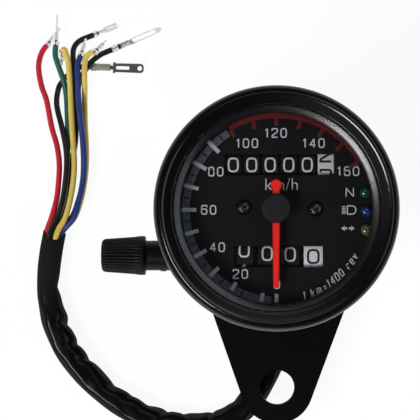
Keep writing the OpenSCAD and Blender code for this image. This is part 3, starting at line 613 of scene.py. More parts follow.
# lead: (kind of terminal, place in the mouth, route beyond it)
LEADS = {
    "red": ("bullet", (-2.24, 0.51), [
        (-66.4, -2.9, 4.2), (-65, 2.5, 3.4), (-64.4, 7.9, 3.1), (-64.2, 13.3, 3.1), (-65, 18.7, 2.6), (-66.6, 24.1, 2),
        (-68.2, 31.9, 1.3), (-69.8, 36.6, 1.2), (-70.6, 42.1, 1.2), (-69.7, 46.2, 1.2), (-68, 48.5, 1.4)]),
    "green": ("pin", (-1.8, -1.43), [
        (-64.9, -2.9, 2.8), (-63.1, 2.5, 2.8), (-62.4, 7.9, 2.7), (-62, 12.8, 2.6), (-61.8, 18.7, 2.4),
        (-61.8, 24.7, 2.3), (-62, 30.6, 2.3), (-62.3, 34.5, 2.5), (-63, 38, 3), (-64.3, 41.8, 3.3),
        (-65.3, 45.3, 3.6), (-65.1, 48.4, 4)]),
    "black_left": ("tab", (-1, 2.07), [
        (-64.6, -2.9, 5), (-63, 2.5, 4.7), (-62.2, 7.9, 4.6), (-61.8, 13.2, 4.5), (-62.1, 18.1, 4.3), (-63.4, 24, 3.3),
        (-65.1, 30.7, 1.8), (-64.7, 35.5, 1.1), (-63.5, 37.7, 1), (-62.2, 39.2, 1), (-59.9, 41.1, 1), (-57.3, 42.1, 1),
        (-54.8, 42, 1.2)]),
    "yellow_left": ("pin", (1, 2.07), [
        (-62.2, -2.9, 5.3), (-60.8, 2.5, 4.6), (-59.9, 7.9, 4.4), (-59.6, 13.2, 4.3), (-59.9, 18.6, 4.2),
        (-60.3, 24, 4.2), (-60.6, 30.5, 4.1), (-60.8, 35.5, 4.1), (-61, 39.1, 4.6), (-61.3, 42.8, 4.7),
        (-61.9, 45.2, 4.9), (-62.2, 46.5, 5.1), (-63.1, 47.1, 4.8), (-63.2, 46.3, 4.2)]),
    "black_middle": ("barrel", (0, -2.3), [
        (-64.2, -2.9, 1), (-62.4, 2.5, 1), (-61.4, 7.9, 1), (-60.9, 13.3, 1), (-59.8, 18.7, 1), (-59.5, 24.2, 1),
        (-59.8, 30.7, 1), (-59.8, 35.6, 1.1), (-59.7, 38, 1.9), (-59.7, 40.4, 2.9), (-60, 43.6, 2.9),
        (-60.1, 46.4, 2.9), (-59.4, 48.3, 2.9), (-57.8, 49.8, 2.7), (-53.9, 51.4, 2.4)]),
    "blue": ("pin", (2.24, 0.51), [
        (-59.7, -2.9, 4.8), (-58.1, 2.5, 4.8), (-56.9, 7.9, 4.7), (-56.6, 13.2, 4.8), (-56.8, 18.6, 4.8),
        (-57.4, 23.9, 4.8), (-58.1, 30.5, 4.7), (-58.4, 35.4, 4.7), (-58.5, 39.1, 4.8), (-58.5, 42.3, 4.8),
        (-57.6, 45.2, 4.8)]),
    "yellow_right": ("pin", (1.8, -1.43), [
        (-60, -2.9, 1), (-58, 2.5, 1), (-56.9, 7.9, 1), (-56.4, 13.3, 1), (-56.4, 18.7, 1), (-56.7, 24.1, 1),
        (-56.8, 30.7, 1.4), (-56.6, 35.5, 3.4), (-56.5, 39.1, 4.8), (-56.4, 42.7, 5), (-55.9, 44.7, 5.1),
        (-54.9, 45.6, 5.2), (-53.9, 45.5, 5.2), (-53.4, 46, 5.3)]),
    "black_right": ("blade", (0, 0), [
        (-60.7, -2.9, 2.8), (-58.5, 2.5, 2.8), (-57.3, 7.9, 2.8), (-57, 13.3, 2.8), (-57.2, 18.6, 2.8),
        (-57.7, 24, 2.8), (-58.5, 30.6, 2.8), (-58.6, 35.5, 2.8), (-58, 38, 2.8), (-57.2, 39.7, 2.9), (-56.1, 41.4, 3),
        (-54.6, 43.4, 3), (-51.9, 45.5, 2.8), (-48.5, 47, 2.4)]),
}


def harness_leads():
    """Eight PVC leads, each a curve with its own crimped terminal."""
    for name, (kind, (across, up), route) in LEADS.items():
        start = MOUTH + MOUTH_SIDE * across + UP * up
        line, run = smooth_route([start - MOUTH_HEADING * LEAD_START, start, *route], LEAD_KNOTS)
        curve = bpy.data.curves.new("lead_" + name, "CURVE")
        curve.dimensions, curve.resolution_u = "3D", 5
        curve.bevel_depth, curve.bevel_resolution, curve.use_fill_caps = LEAD_R * MM, 6, True
        spline = curve.splines.new("BEZIER")
        spline.bezier_points.add(len(line) - 1)
        for knot, point in zip(spline.bezier_points, line):
            knot.co = point * MM
            knot.handle_left_type = knot.handle_right_type = "AUTO"
        curve.materials.append(lead_finishes[name.split("_")[0]].material)
        lead = bpy.data.objects.new("lead_" + name, curve)
        scene.collection.objects.link(lead)
        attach(lead, "case")
        heading = (Vector(route[-1]) - Vector(route[-2])).normalized()
        tip = terminal(name, kind, line[-1], heading)
        tuple(line[0] * MM)
        run * MM
        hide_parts("lead_wires")
        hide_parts("lead_terminals")


def wrap(radius, thick, start, end, flare=0.05, gap=0.35, ripple=0.0):
    """Sheet rolled round the X axis from start to end, open by gap radians along its top, as a crimp's wings are."""
    stations, steps = 13 if ripple else 3, 20
    row = steps + 1
    points, faces = [], []
    for i in range(stations):
        x = start + (end - start) * i / (stations - 1)
        grow = flare * abs(2 * i / (stations - 1) - 1) ** 2 - ripple * (i % 2)
        for r in (radius + grow, radius + grow + thick):
            for k in range(row):
                a = math.pi / 2 + gap / 2 + (math.tau - gap) * k / steps
                dip = 0.18 * radius * math.exp(-((min(k, steps - k) / 2.2) ** 2))
                points.append((x, (r - dip) * math.cos(a), (r - dip) * math.sin(a)))
    for i in range(0, 2 * (stations - 1), 2):
        for first in (i * row, (i + 1) * row):
            faces += [(a, a + 1, a + 2 * row + 1, a + 2 * row) for a in range(first, first + steps)]
        for a in (i * row, i * row + steps):
            faces.append((a, a + row, a + 3 * row, a + 2 * row))
    for first in (0, 2 * (stations - 1) * row):
        faces += [(a, a + 1, a + 1 + row, a + row) for a in range(first, first + steps)]
    return points, faces


def strip_along(stations, thick):
    """A flat bar along X: stations are (x, half width, height of its middle)."""
    points = []
    for x, half, high in stations:
        low, high = high - thick / 2, high + thick / 2
        points += [(x, -half, low), (x, half, low), (x, half, high), (x, -half, high)]
    last = len(points)
    return points, skin(len(stations), 4) + [(3, 2, 1, 0), tuple(range(last - 4, last))]


def rolled_pin(end, radius, tip):
    """A round pin along X with a shoulder and a nose, from the crimp's end on."""
    collar, start = radius * 1.35, 3.2
    profile = [(0, start), (collar, start), (collar, start + 0.5), (radius, start + 0.8), (radius, end - tip)]
    profile += [(radius * math.cos(a), end - tip + tip * math.sin(a)) for a in (0.4, 0.8, 1.2)] + [(0, end)]
    return along_x(dome(profile, 28))


def tube_along(start, end, radius, bore):
    """A plain ring or tube along X, its outer edges eased."""
    ease = 0.06
    outside = [(radius - ease, start), (radius, start + ease), (radius, end - ease), (radius - ease, end)]
    return along_x(lathe([*outside, (bore, end), (bore, start)], 36))


def strand(y, z):
    """One copper strand twisted along X, between the two crimps."""
    around, rings, radius = 8, 5, 0.15
    points = []
    for i in range(rings):
        c, s = math.cos(0.35 * i), math.sin(0.35 * i)
        for k in range(around):
            a = math.tau * k / around
            spot = y * c - z * s + radius * math.cos(a), y * s + z * c + radius * math.sin(a)
            points.append((0.1 + 0.85 * i, *spot))
    last = rings * around
    return points, skin(rings, around) + [tuple(range(around - 1, -1, -1)), tuple(range(last - around, last))]


def tab_blade():
    """The flat tab: a neck, a flanged collar, a slotted blade and its hole, all one sheet."""
    half = [(6.0, 0.6), (6.4, 0.6), (6.4, 1.62, 0.15), (7.0, 1.62, 0.15), (7.0, 1.3), (15.6, 1.38, 1.2)]
    outline = eased([(x, -y, *ease) for x, y, *ease in half] + half[::-1], closed=True, steps=8)
    slot = eased([(7.3, -0.5, 0.3), (11.3, -0.5, 0.3), (11.3, 0.5, 0.3), (7.3, 0.5, 0.3)], closed=True, steps=6)
    hole = arc(14.4, 0, 0.72, (360 * k / 28 for k in range(28)))
    return cut_sheet(outline, [slot, hole], -0.2, 0.2)


def cut_sheet(outline, cuts, low, high):
    """A flat sheet with holes through it, as points and faces."""
    work = bmesh.new()
    edges = []
    for loop in [outline, *cuts]:
        ring = [work.verts.new((x, y, low)) for x, y in loop]
        edges += [work.edges.new((ring[i - 1], ring[i])) for i in range(len(ring))]
    bmesh.ops.triangle_fill(work, use_beauty=True, edges=edges)
    grown = bmesh.ops.extrude_face_region(work, geom=work.faces[:] + work.edges[:])
    for vert in [g for g in grown["geom"] if isinstance(g, bmesh.types.BMVert)]:
        vert.co.z = high
    bmesh.ops.recalc_face_normals(work, faces=work.faces)
    work.verts.index_update()
    points = [tuple(v.co) for v in work.verts]
    faces = [tuple(v.index for v in f.verts) for f in work.faces]
    work.free()
    return points, faces


def terminal(name, kind, end, heading):
    """A crimped terminal: insulation wings, bare strands, ribbed barrel and its tip. X runs on from the lead's end."""
    side = UP.cross(heading).normalized()
    turn = Matrix((heading, side, heading.cross(side))).transposed()

    def part(label, shapes, finish):
        return piece(label + "_" + name, *moved(joined(*shapes), end, turn), "case", finish, sharp=30)

    floor = [(-0.3, 0.45, -0.88), (1.0, 0.45, -0.88), (1.5, 0.45, -0.6), (3.6, 0.5, -0.58)]
    shapes = [wrap(0.84, 0.16, -0.2, 0.95, 0.04), wrap(0.52, 0.16, 1.4, 3.3, ripple=0.05), strip_along(floor, 0.16)]
    # painted shade: a black ring standing for the shadow gap at the lead's end
    dark = [tube_along(-0.28, 0.1, LEAD_R + 0.05, 0.4)]
    shapes_finish, tips_finish, tips = finishes["terminal_tin"], None, []
    if kind == "tab":
        shapes = [wrap(0.96, 0.18, -0.1, 1.2, gap=0.15), wrap(0.9, 0.2, 1.35, 5.6, gap=0.12, ripple=0.12)]
        shapes += [tube_along(1.0, 5.5, 0.8, 0.3), strip_along([(-0.1, 0.5, -0.95), (6.2, 0.6, -0.6)], 0.2)]
        tips.append(moved(tab_blade(), (0, 0, -0.5)))
        shapes_finish, tips_finish = crimp_worn, terminal_dark
    elif kind == "blade":
        # painted shade: a black ring in the gap between the crimp and the tip
        dark.append(tube_along(1.9, 2.5, 0.84, 0.3))
        shapes = [wrap(0.9, 0.18, -0.1, 1.8, ripple=0.04)]
        floor = [(-0.1, 0.5, -0.9), (2.0, 0.5, -0.88), (2.6, 0.5, -0.76), (5.3, 0.55, -0.74), (5.9, 0.7, -0.5)]
        tips += [wrap(0.7, 0.18, 2.6, 5.4, ripple=0.07), strip_along([*floor, (6.4, 0.85, -0.36)], 0.2)]
        tips.append(moved(tube_along(5.9, 6.7, 0.5, 0.28), (0, -0.5, -0.1)))
        for across in (-0.66, 0.66):
            prong = [(6.2, 0.2, -0.36), (9.5, 0.17, -0.3), (13.6, 0.15, -0.25), (15.0, 0.12, -0.22)]
            shapes.append(moved(strip_along(prong, 0.24), (0, across, 0.05)))
            lip = [(7.0, 0.07, -0.05), (12.8, 0.06, -0.02)]
            shapes.append(moved(strip_along(lip, 0.5), (0, across * 1.28, 0.0)))
        shapes.append(strip_along([(13.9, 0.78, -0.2), (15.0, 0.66, -0.18), (15.7, 0.35, -0.16)], 0.2))
        tips_finish = terminal_bronze
    elif kind == "barrel":
        # painted shade: a black ring over the strands between the two crimps
        dark.append(tube_along(1.0, 1.45, 0.62, 0.3))
        shapes.append(wrap(0.84, 0.18, 3.3, 7.3, 0.04, 0.7, 0.06))
    elif kind == "bullet":
        shapes.append(rolled_pin(6.4, 0.5, 0.5))
    else:
        shapes.append(rolled_pin({"green": 8.8, "blue": 5.2}.get(name, 5.0), 0.3, 0.4))
    made = part("terminal", shapes, shapes_finish)
    # the black rings made here are painted shade
    inner = [part("lead_end", dark, lead_finishes["black"])]
    if tips:
        inner.append(part("terminal_tip", tips, tips_finish))
    cores = [strand(y, z) for y, z in arc(0, 0, 0.32, range(0, 360, 60))] + [strand(0, 0)]
    inner.append(part("strands", cores, copper_strands))
    for more in inner:
        more.parent = made
        more.matrix_parent_inverse = more.matrix_basis = Matrix.Identity(4)
    return made


# Pinches along the sleeve's inner side: (distance back from the mouth in mm, depth, half width)
PINCHES = [
    (16.0, 0.8, 2.6), (28.9, 0.9, 1.5), (36.2, 0.7, 1.3), (42.5, 0.65, 1.3), (54.0, 0.8, 2.2), (60.5, 0.3, 1.2),
    (66.0, 0.25, 1.2), (72.5, 0.75, 1.3), (79.0, 0.5, 1.2), (88.0, 0.6, 1.3), (97.0, 0.4, 1.4), (107.0, 0.4, 1.3),
]


def sleeve_depth(back, angle):
    """How far the wall stands off the half width. angle is 0 on the bend's inner side and goes over the top."""
    plain_end, fade = 14, 12
    crumpled = min(max((back - plain_end) / fade, 0), 1)
    inner = max(0, math.cos(angle - 0.2)) ** 1.3
    depth = 0.5 * inner * crumpled
    for at, deep, half in PINCHES:
        lean = at + 2.2 * math.sin(angle) * (1 if int(at) % 2 else -1)
        depth -= deep * math.exp(-(abs(back - lean) / half) ** 1.8) * inner
        depth -= 0.16 * deep * math.exp(-(((back - lean) / (3.2 * half)) ** 2)) * max(0, math.sin(angle))
    crease = math.radians(119 + 7 * math.sin(back * 0.42) + 4 * math.sin(back * 0.93 + 1))
    depth += 0.42 * crumpled * math.exp(-(((angle - crease) / 0.36) ** 2))
    spot = Vector((back * 0.11, math.cos(angle) * 0.8, math.sin(angle) * 0.8))
    facet = noise.noise(spot * 1.3, noise_basis="PERLIN_ORIGINAL")
    return depth + crumpled * (0.1 + 0.5 * inner) * facet + 0.06 * noise.noise(spot * 0.7)


def sleeve_swell(back):
    """The sleeve's half width along its run, in mm."""
    stops = [(0, 3.38), (21, 3.42), (27, 3.75), (33, 3.72), (45, 3.68), (55, 3.6), (64, 3.5), (130, 3.5)]
    for (a, low), (b, high) in zip(stops, stops[1:]):
        if back <= b:
            t = (back - a) / (b - a)
            return low + (high - low) * t * t * (3 - 2 * t)
    return stops[-1][1]


def harness_sleeve():
    """The crumpled PVC sleeve, hollow at its mouth, swept along its route."""
    rings, around, inner_rings, squash, slant = 300, 64, 14, 0.96, 2.4
    line, run = smooth_route(SLEEVE_ROUTE, rings)
    points = []
    for i, here in enumerate(line):
        heading = (line[min(i + 1, rings - 1)] - line[max(i - 1, 0)]).normalized()
        side = heading.cross(UP).normalized()
        back = run * (1 - i / (rings - 1))
        for k in range(around):
            a = math.tau * k / around
            cut_back = slant * max(0, math.sin(a)) ** 1.6 * max(0, 1 - back / 12)
            r = sleeve_swell(back) + sleeve_depth(back, a)
            point = here + side * (r * math.cos(a)) + UP * (r * math.sin(a) * squash) - heading * cut_back
            point.z = max(point.z, 0.06 + 0.1 * abs(math.cos(a)))
            points.append(point)
    start, last = rings * around, (rings - 1) * around
    for n in range(inner_rings):
        i = rings - 1 - 2 * n
        wall, lip = (0.3, 0) if n else (0.16, 0.12)
        for outer in points[i * around : (i + 1) * around]:
            out = outer - line[i]
            out -= MOUTH_HEADING * out.dot(MOUTH_HEADING)
            points.append(outer - out.normalized() * wall + MOUTH_HEADING * lip)
    faces = skin(rings, around)
    for k in range(around):
        j = (k + 1) % around
        faces.append((last + k, last + j, start + j, start + k))
    faces += skin(inner_rings, around, start)
    faces += [tuple(range(len(points) - around, len(points))), tuple(reversed(range(around)))]
    sleeve = piece("harness_sleeve_skin", points, faces, "case", finishes["sleeve_pvc"], sharp=75)
    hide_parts("harness_sleeve")
    tuple(line[0] * MM)
    run * MM
    [tuple(p * MM) for p in line[::6]] + [tuple(line[-1] * MM)]


# The gauge: bezel, ring, dial printing, counters, pointer, knob

BEZEL_PROFILE = [
    (30.0, 56.6, 0.1), (31.5, 56.6, 0.35), (32.0, 57.2, 0.4), (32.0, 63.2), (31.97, 63.6), (31.92, 63.92),
    (31.8, 64.22), (31.65, 64.46), (31.5, 64.62), (31.2, 64.85), (30.8, 65.14), (30.4, 65.38), (30.2, 65.46),
    (30.0, 65.49), (29.8, 65.46), (29.5, 65.36), (29.36, 65.28), (29.2, 65.24), (28.4, 65.1), (27.6, 64.96),
    (27.3, 64.905), (27.2, 64.87), (27.14, 64.8), (27.11, 64.7), (26.95, 63.2), (26.9, 63.0), (31.1, 63.0, 0.05),
    (31.1, 57.8, 0.05), (30.0, 57.8, 0.05),
]
TRIM_PROFILE = [
    (26.3, 55.25), (26.3, 57.65), (25.1, 57.65), (25.1, 60.0), (25.3, 60.15), (25.8, 60.38), (26.3, 60.58),
    (26.8, 60.75), (26.9, 60.95), (28.55, 60.95), (28.55, 55.25),
]


def bezel_and_ring():
    ring = piece(
        "bezel_turned", *lathe(eased(BEZEL_PROFILE, True, 5), 240), "case", finishes["bezel_gloss"], sharp=60
    )
    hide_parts("bezel_ring")
    trim = piece(
        "trim_ring_moulded", *lathe(eased(TRIM_PROFILE, True, 5), 240), "case", finishes["trim_black"], sharp=34
    )
    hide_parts("trim_ring")


DIAL_TOP = 55.2
INK_STEP = 0.008  # each layer of print stands this much over the one below
PRINT_X, PRINT_Y = 0.05, -0.4  # the print stands a little low on the dial


def speed_angle(speed):
    """Where a speed stands on the dial, in radians clockwise from six o'clock. The first two stand closer."""
    return math.radians({10: 9.3, 20: 29.1}.get(speed, speed * 1.5))


def ray(angle, radius):
    return (PRINT_X - radius * math.sin(angle), PRINT_Y - radius * math.cos(angle))


def arc_strip(start, end, inner, outer, steps):
    angles = [start + (end - start) * k / steps for k in range(steps + 1)]
    points = [ray(a, r) for a in angles for r in (inner, outer)]
    return points, [(k, k + 1, k + 3, k + 2) for k in range(0, 2 * steps, 2)]


def bar(angle, inner, outer, width):
    """A radial bar of even width."""
    start, end = Vector(ray(angle, inner)), Vector(ray(angle, outer))
    out = (end - start).normalized() * width / 2
    side = Vector((-out.y, out.x))
    return [tuple(start - side), tuple(end - side), tuple(end + side), tuple(start + side)], [(0, 1, 2, 3)]


def stroke(*corners):
    return corners, False


def loop(*corners):
    return corners, True


# Strokes of each letter: corners (x, y, rounding) in a box 2 wide and 2 high. C rounds a full corner
C = 0.78
STROKES = {
    "0": [loop((-1, -1, C), (1, -1, C), (1, 1, C), (-1, 1, C))],
    "1": [stroke((-0.5, 0.56), (0.12, 1, 0.08), (0.12, -1))],
    "2": [stroke((-1, 0.56), (-1, 1, C), (1, 1, C), (1, 0.3, 0.5), (-0.95, -0.62, 0.42), (-1, -1, 0.02), (1, -1))],
    "3": [
        stroke((-1, 0.62), (-1, 1, C), (1, 1, C), (1, 0.07, 0.6), (-0.28, 0.07)),
        stroke((-0.28, 0.07), (1, 0.07, 0.6), (1, -1, C), (-1, -1, C), (-1, -0.62)),
    ],
    "4": [stroke((0.5, -1), (0.5, 1, 0.04), (-1, -0.42, 0.04), (1.08, -0.42))],
    "5": [stroke((0.92, 1), (-0.92, 1, 0.08), (-1, 0.1, 0.08), (1, 0.26, 0.7), (1, -1, C), (-1, -1, C), (-1, -0.62))],
    "6": [
        stroke((1, 0.62), (1, 1, C), (-1, 1, C), (-1, -0.3)),
        loop((-1, 0.16, 0.66), (1, 0.16, 0.66), (1, -1, C), (-1, -1, C)),
    ],
    "7": [stroke((-1, 1), (1, 1, 0.12), (-0.24, -1))],
    "8": [
        loop((-0.88, 0.08, 0.5), (0.88, 0.08, 0.5), (0.88, 1, 0.6), (-0.88, 1, 0.6)),
        loop((-1, -1, 0.7), (1, -1, 0.7), (1, 0.08, 0.58), (-1, 0.08, 0.58)),
    ],
    "9": [
        stroke((-1, -0.62), (-1, -1, C), (1, -1, C), (1, 0.3)),
        loop((-1, -0.16, 0.66), (1, -0.16, 0.66), (1, 1, C), (-1, 1, C)),
    ],
    "=": [stroke((-0.9, -0.05), (0.9, -0.05)), stroke((-0.9, -0.6), (0.9, -0.6))],
    "k": [stroke((-0.8, 1), (-0.8, -1)), stroke((0.8, 0.25), (-0.8, -0.45)), stroke((-0.3, -0.2), (0.9, -1))],
    "m": [
        stroke((-1.3, 0.3), (-1.3, -1)),
        stroke((-1.3, -0.1), (-1.3, 0.3, 0.5), (0, 0.3, 0.4), (0, -1)),
        stroke((0, -0.1), (0, 0.3, 0.5), (1.3, 0.3, 0.4), (1.3, -1)),
    ],
    "r": [stroke((-0.7, 0.3), (-0.7, -1)), stroke((-0.7, -0.2), (-0.7, 0.3, 0.5), (0.7, 0.3, 0.2), (0.8, 0.15))],
    "e": [
        stroke(
            (-0.9, -0.32), (0.9, -0.32), (0.9, 0.3, 0.5), (-0.9, 0.3, 0.5), (-0.9, -1, 0.5), (0.85, -1, 0.3),
            (0.9, -0.82),
        ),
    ],
    "v": [stroke((-0.9, 0.3), (0, -1, 0.05), (0.9, 0.3))],
}


def stroke_letter(letter, wide, high, weight, spot, turn=0.0, slant=0.0):
    """One letter as flat ribbons. wide and high run from middle to edge, and turn and slant are in radians."""
    shapes = []
    c, s = math.cos(turn), math.sin(turn)
    for corners, closed in STROKES[letter]:
        line = [(x * wide + y * high * slant, y * high) for x, y in eased(corners, closed)]
        line = [(spot[0] + x * c - y * s, spot[1] + x * s + y * c) for x, y in line]
        shapes.append(ribbon(line, weight, closed))
    return joined(*shapes)


def dial_number(text, middle):
    """Digits in a row about a point of the dial."""
    wide, high, weight, gap = 0.7, 1.12, 0.33, 0.62
    sizes = [0.4 if digit == "1" else wide for digit in text]
    full_width = sum(2 * size + weight for size in sizes) + gap * (len(text) - 1)
    x, shapes = middle[0] - full_width / 2, []
    for digit, size in zip(text, sizes):
        x += size + weight / 2
        shapes.append(stroke_letter(digit, wide, high, weight, (x, middle[1])))
        x += size + weight / 2 + gap
    return joined(*shapes)


def lettering(words, height, centre, tall, narrow):
    """Thin printed letters about a centre on the dial. height is that of the letter tall."""
    curve = bpy.data.curves.new("lettering", "FONT")
    curve.align_x, curve.fill_mode, curve.resolution_u, curve.space_character = "CENTER", "FRONT", 6, 1.02
    probe = bpy.data.objects.new("lettering", curve)
    scene.collection.objects.link(probe)

    def drawn(text):
        curve.body = text
        bpy.context.view_layer.update()
        mesh = bpy.data.meshes.new_from_object(probe.evaluated_get(bpy.context.evaluated_depsgraph_get()))
        shape = [tuple(v.co[:2]) for v in mesh.vertices], [tuple(p.vertices) for p in mesh.polygons]
        bpy.data.meshes.remove(mesh)
        return shape

    heights = [y for _, y in drawn(tall)[0]]
    curve.offset = -0.012
    points, faces = drawn(words)
    bpy.data.objects.remove(probe)
    bpy.data.curves.remove(curve)
    scale, middle = height / (max(heights) - min(heights)), (max(heights) + min(heights)) / 2
    across = (min(x for x, _ in points) + max(x for x, _ in points)) / 2
    return [(centre[0] + (x - across) * scale * narrow, centre[1] + (y - middle) * scale) for x, y in points], faces


# speed: (inner, outer) radius of its mark
SCALE_TICKS = {
    0: (22.25, 24.5), 10: (22.3, 24.5), 20: (22.0, 24.4), 30: (21.6, 24.9), 40: (21.4, 25.1), 50: (21.3, 25.0),
    60: (21.25, 25.05), 70: (21.35, 25.2), 80: (21.4, 25.4), 90: (21.5, 25.5),
}
NUMBERS = {
    "0": (0.15, -20.1), "20": (-9.5, -17.4), "40": (-15.6, -10.3), "60": (-17.9, -0.4), "80": (-16.0, 9.7),
    "100": (-7.7, 17.2), "120": (-0.1, 19.9), "140": (9.9, 17.2), "160": (19.0, 9.8),
}
FINE_WORDS = "1 km=1400 rev"


def red_inner(speed):
    """How far the red zone's inner edge moves out, from 125 on."""
    return 0.6 * max(0, (speed - 125) / 35)


def lamp_signs():
    """The sign beside each warning lamp: N for neutral, a beam, and the two turn arrows."""
    signs = [lettering("N", 2.4, (19.4, 4.2), "N", 1.0)]
    beam = [(18.75, 0.62, 0.2), (20.95, 0.62, 1.1), (20.95, -1.55, 1.1), (18.75, -1.55, 0.2)]
    signs.append(ribbon(eased(beam, True, 8), 0.3, closed=True))
    signs += [ribbon([(17.3, y), (18.3, y)], 0.22) for y in (0.42, -0.02, -0.46, -0.9, -1.34)]
    for side in (-1, 1):
        x, y = 18.9 + side * 0.2, -5.3
        shaft = [(x, y + 0.25), (x, y - 0.25), (x + side * 0.75, y - 0.25), (x + side * 0.75, y + 0.25)]
        head = [(x + side * 0.6, y + 0.7), (x + side * 0.6, y - 0.7), (x + side * 1.6, y)]
        signs += [(shaft, [(0, 1, 2, 3)]), (head, [(0, 1, 2)])]
    return signs


def dial_printing():
    band = [arc_strip(speed_angle(2.2), speed_angle(98.5), 22.95, 24.95, 110)]
    marks = [bar(speed_angle(v), 23.2, 24.6, 0.55) for v in range(15, 96, 10)]
    marks += [bar(speed_angle(v), 23.25, 23.8, 0.35) for v in range(12, 93) if v % 10 in (2, 8)]
    ticks = [bar(speed_angle(v), inner, outer, 1.0) for v, (inner, outer) in SCALE_TICKS.items()]
    red = [arc_strip(speed_angle(v), speed_angle(v + 1), 24.2 + red_inner(v), 25.5, 2) for v in range(100, 160)]
    red += [bar(speed_angle(v), 22.15, 24.25 + red_inner(v), 1.05) for v in range(100, 161, 10)]
    grey = [dial_number(text, at) for text, at in NUMBERS.items()]
    grey += [lettering("km/h", 3.1, (1.4, 6.35), "h", 0.98), *lamp_signs()]
    fine = []
    steps = [{"1": 1.1, "m": 2.1, " ": 1.0}.get(letter, 1.6) for letter in FINE_WORDS]
    for i, letter in enumerate(FINE_WORDS):
        if letter != " ":
            a = math.radians(16.8 + 44.5 * (sum(steps[:i]) + steps[i] / 2) / sum(steps))
            fine.append(stroke_letter(letter, 0.44, 0.98, 0.27, ray(-a, 23.85), a, 0.21))
    for name, shapes, ink, layer in (
        ("dial_scale_band", band, "band", 1),
        ("dial_scale_marks", marks, "band_marks", 2),
        ("dial_ticks", ticks, "tick", 3),
        ("dial_red_zone", red, "red", 3),
        ("dial_numerals", grey, "grey", 3),
        ("dial_fine_lettering", fine, "fine_lettering", 3),
    ):
        points, faces = joined(*shapes)
        points = [(*p[:2], DIAL_TOP + layer * INK_STEP) for p in points]
        piece(name, points, faces, "case", inks[ink])


DRUM_R, DRUM_HIGH = 9.0, 45.2
ODOMETER_Y, TRIP_Y = 11.5, -12.8
DIGIT_TURN = math.radians(36)


def counter_digits(name, middle, across, shown, body, ink):
    """Ten digits round a drum. shown is the number at the window's middle, with its fraction."""
    wide, weight = (1.24, 0.48) if ink is digit_pale else (1.4, 0.6)
    high, facet, r = 1.72, 0.5, DRUM_R + 0.02
    points, faces = [], []
    for digit in range(10):
        for corners, closed in STROKES[str(digit)]:
            line = [Vector((x * wide, y * high)) for x, y in eased(corners, closed)]
            dense = []
            for a, b in zip(line, line[1:] + line[:1] if closed else line[1:]):
                cuts = max(1, int((b - a).length / facet))
                dense += [tuple(a.lerp(b, k / cuts)) for k in range(cuts)]
            if not closed:
                dense.append(tuple(line[-1]))
            flat, sides = ribbon(dense, weight, closed)
            faces += [tuple(i + len(points) for i in f) for f in sides]
            for u, v in flat:
                turn = DIGIT_TURN * (shown - digit) + v / DRUM_R
                points.append((middle + u, across + r * math.sin(turn), DRUM_HIGH + r * math.cos(turn)))
    made = piece(name, points, faces, body, ink)


def counters():
    for k, middle in enumerate((-11.4, -6.5, -1.6, 3.3, 8.2)):
        counter_digits(f"odometer_digits_{k + 1}", middle, ODOMETER_Y, 0, f"odometer_digit_{k + 1}", digit_pale)
    counter_digits("odometer_digits_6", 13.1, ODOMETER_Y, 2.46, "odometer_tenths", digit_black)
    for k, (middle, shown) in enumerate(((-8.5, 0.3), (-2.4, 0.14), (3.7, 0.1))):
        counter_digits(f"trip_digits_{k + 1}", middle, TRIP_Y, shown, f"trip_digit_{k + 1}", digit_pale)
    counter_digits("trip_digits_4", 9.8, TRIP_Y, 0, "trip_digit_4", digit_black)


def pointer_and_cap():
    tip = arc(0, -20.24, 0.76, range(180, 361, 12))
    tail = arc(0, 6.1, 1.5, range(-50, 231, 10))
    outline = tip + [(0.98, -3), (0.94, 4.2)] + tail + [(-0.94, 4.2), (-0.98, -3)]
    blade = piece(
        "pointer_blade", *plate(outline, 57.8, 58.75, 0.3), "pointer_assembly", finishes["pointer_red"], sharp=20
    )
    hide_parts("pointer")
    profile = [
        (0, 58.8), (3.5, 58.8), (3.82, 59.0), (3.88, 59.3), (3.88, 59.75), (3.8, 60.05), (3.62, 60.25), (3.3, 60.34),
        (2.6, 60.37), (0, 60.38),
    ]
    cap = piece("pointer_hub_cap", *dome(profile, 96), "pointer_assembly", finishes["cap_black"], sharp=60)
    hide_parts("pointer_cap")


def warning_lamps():
    """Three moulded caps that stand up through the dial, half under the trim ring."""
    high = [(1.52 * math.cos(a), 55.6 + 1.15 * math.sin(a)) for a in map(math.radians, range(0, 90, 9))]
    shape = dome([(0, 55.22), (1.5, 55.22), *high, (0, 56.75)], 40)
    for name, x, y in (("green", 23.5, 4.2), ("blue", 23.8, -0.8), ("amber", 23.75, -5.7)):
        cap = piece("lamp_cap_" + name, *moved(shape, (x, y, 0)), "case", finishes["lamp_" + name], sharp=60)
        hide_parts("lamp_" + name)


def dial_screws():
    """Two domed pan heads with cross recesses."""
    around, rings, head_r, head_high, slots = 96, 30, 2.08, 1.37, (math.radians(35), math.radians(125))
    shapes = []
    for x, y in ((-8.6, 0.2), (10.4, -0.2)):
        points = [(x, y, 56.0)]
        for r in (head_r * i / rings for i in range(1, rings + 1)):
            for a in (math.tau * k / around for k in range(around)):
                u, v = r * math.cos(a), r * math.sin(a)
                cross = min(abs(u * math.cos(t) + v * math.sin(t)) for t in slots)
                sunk = 0.62 * min(max((0.34 - cross) / 0.14, 0), 1) * min(max((1.45 - r) / 0.4, 0), 1)
                points.append((x + u, y + v, 55.25 + head_high * (1 - (r / head_r) ** 2.6) ** 0.62 - sunk))
        faces = [(0, 1 + (k + 1) % around, 1 + k) for k in range(around)] + skin(rings, around, 1)
        shapes.append((points, faces + [tuple(range(len(points) - around, len(points)))]))
    heads = piece("dial_screw_heads", *joined(*shapes), "case", finishes["screw_black"], sharp=50)
    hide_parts("dial_screws")


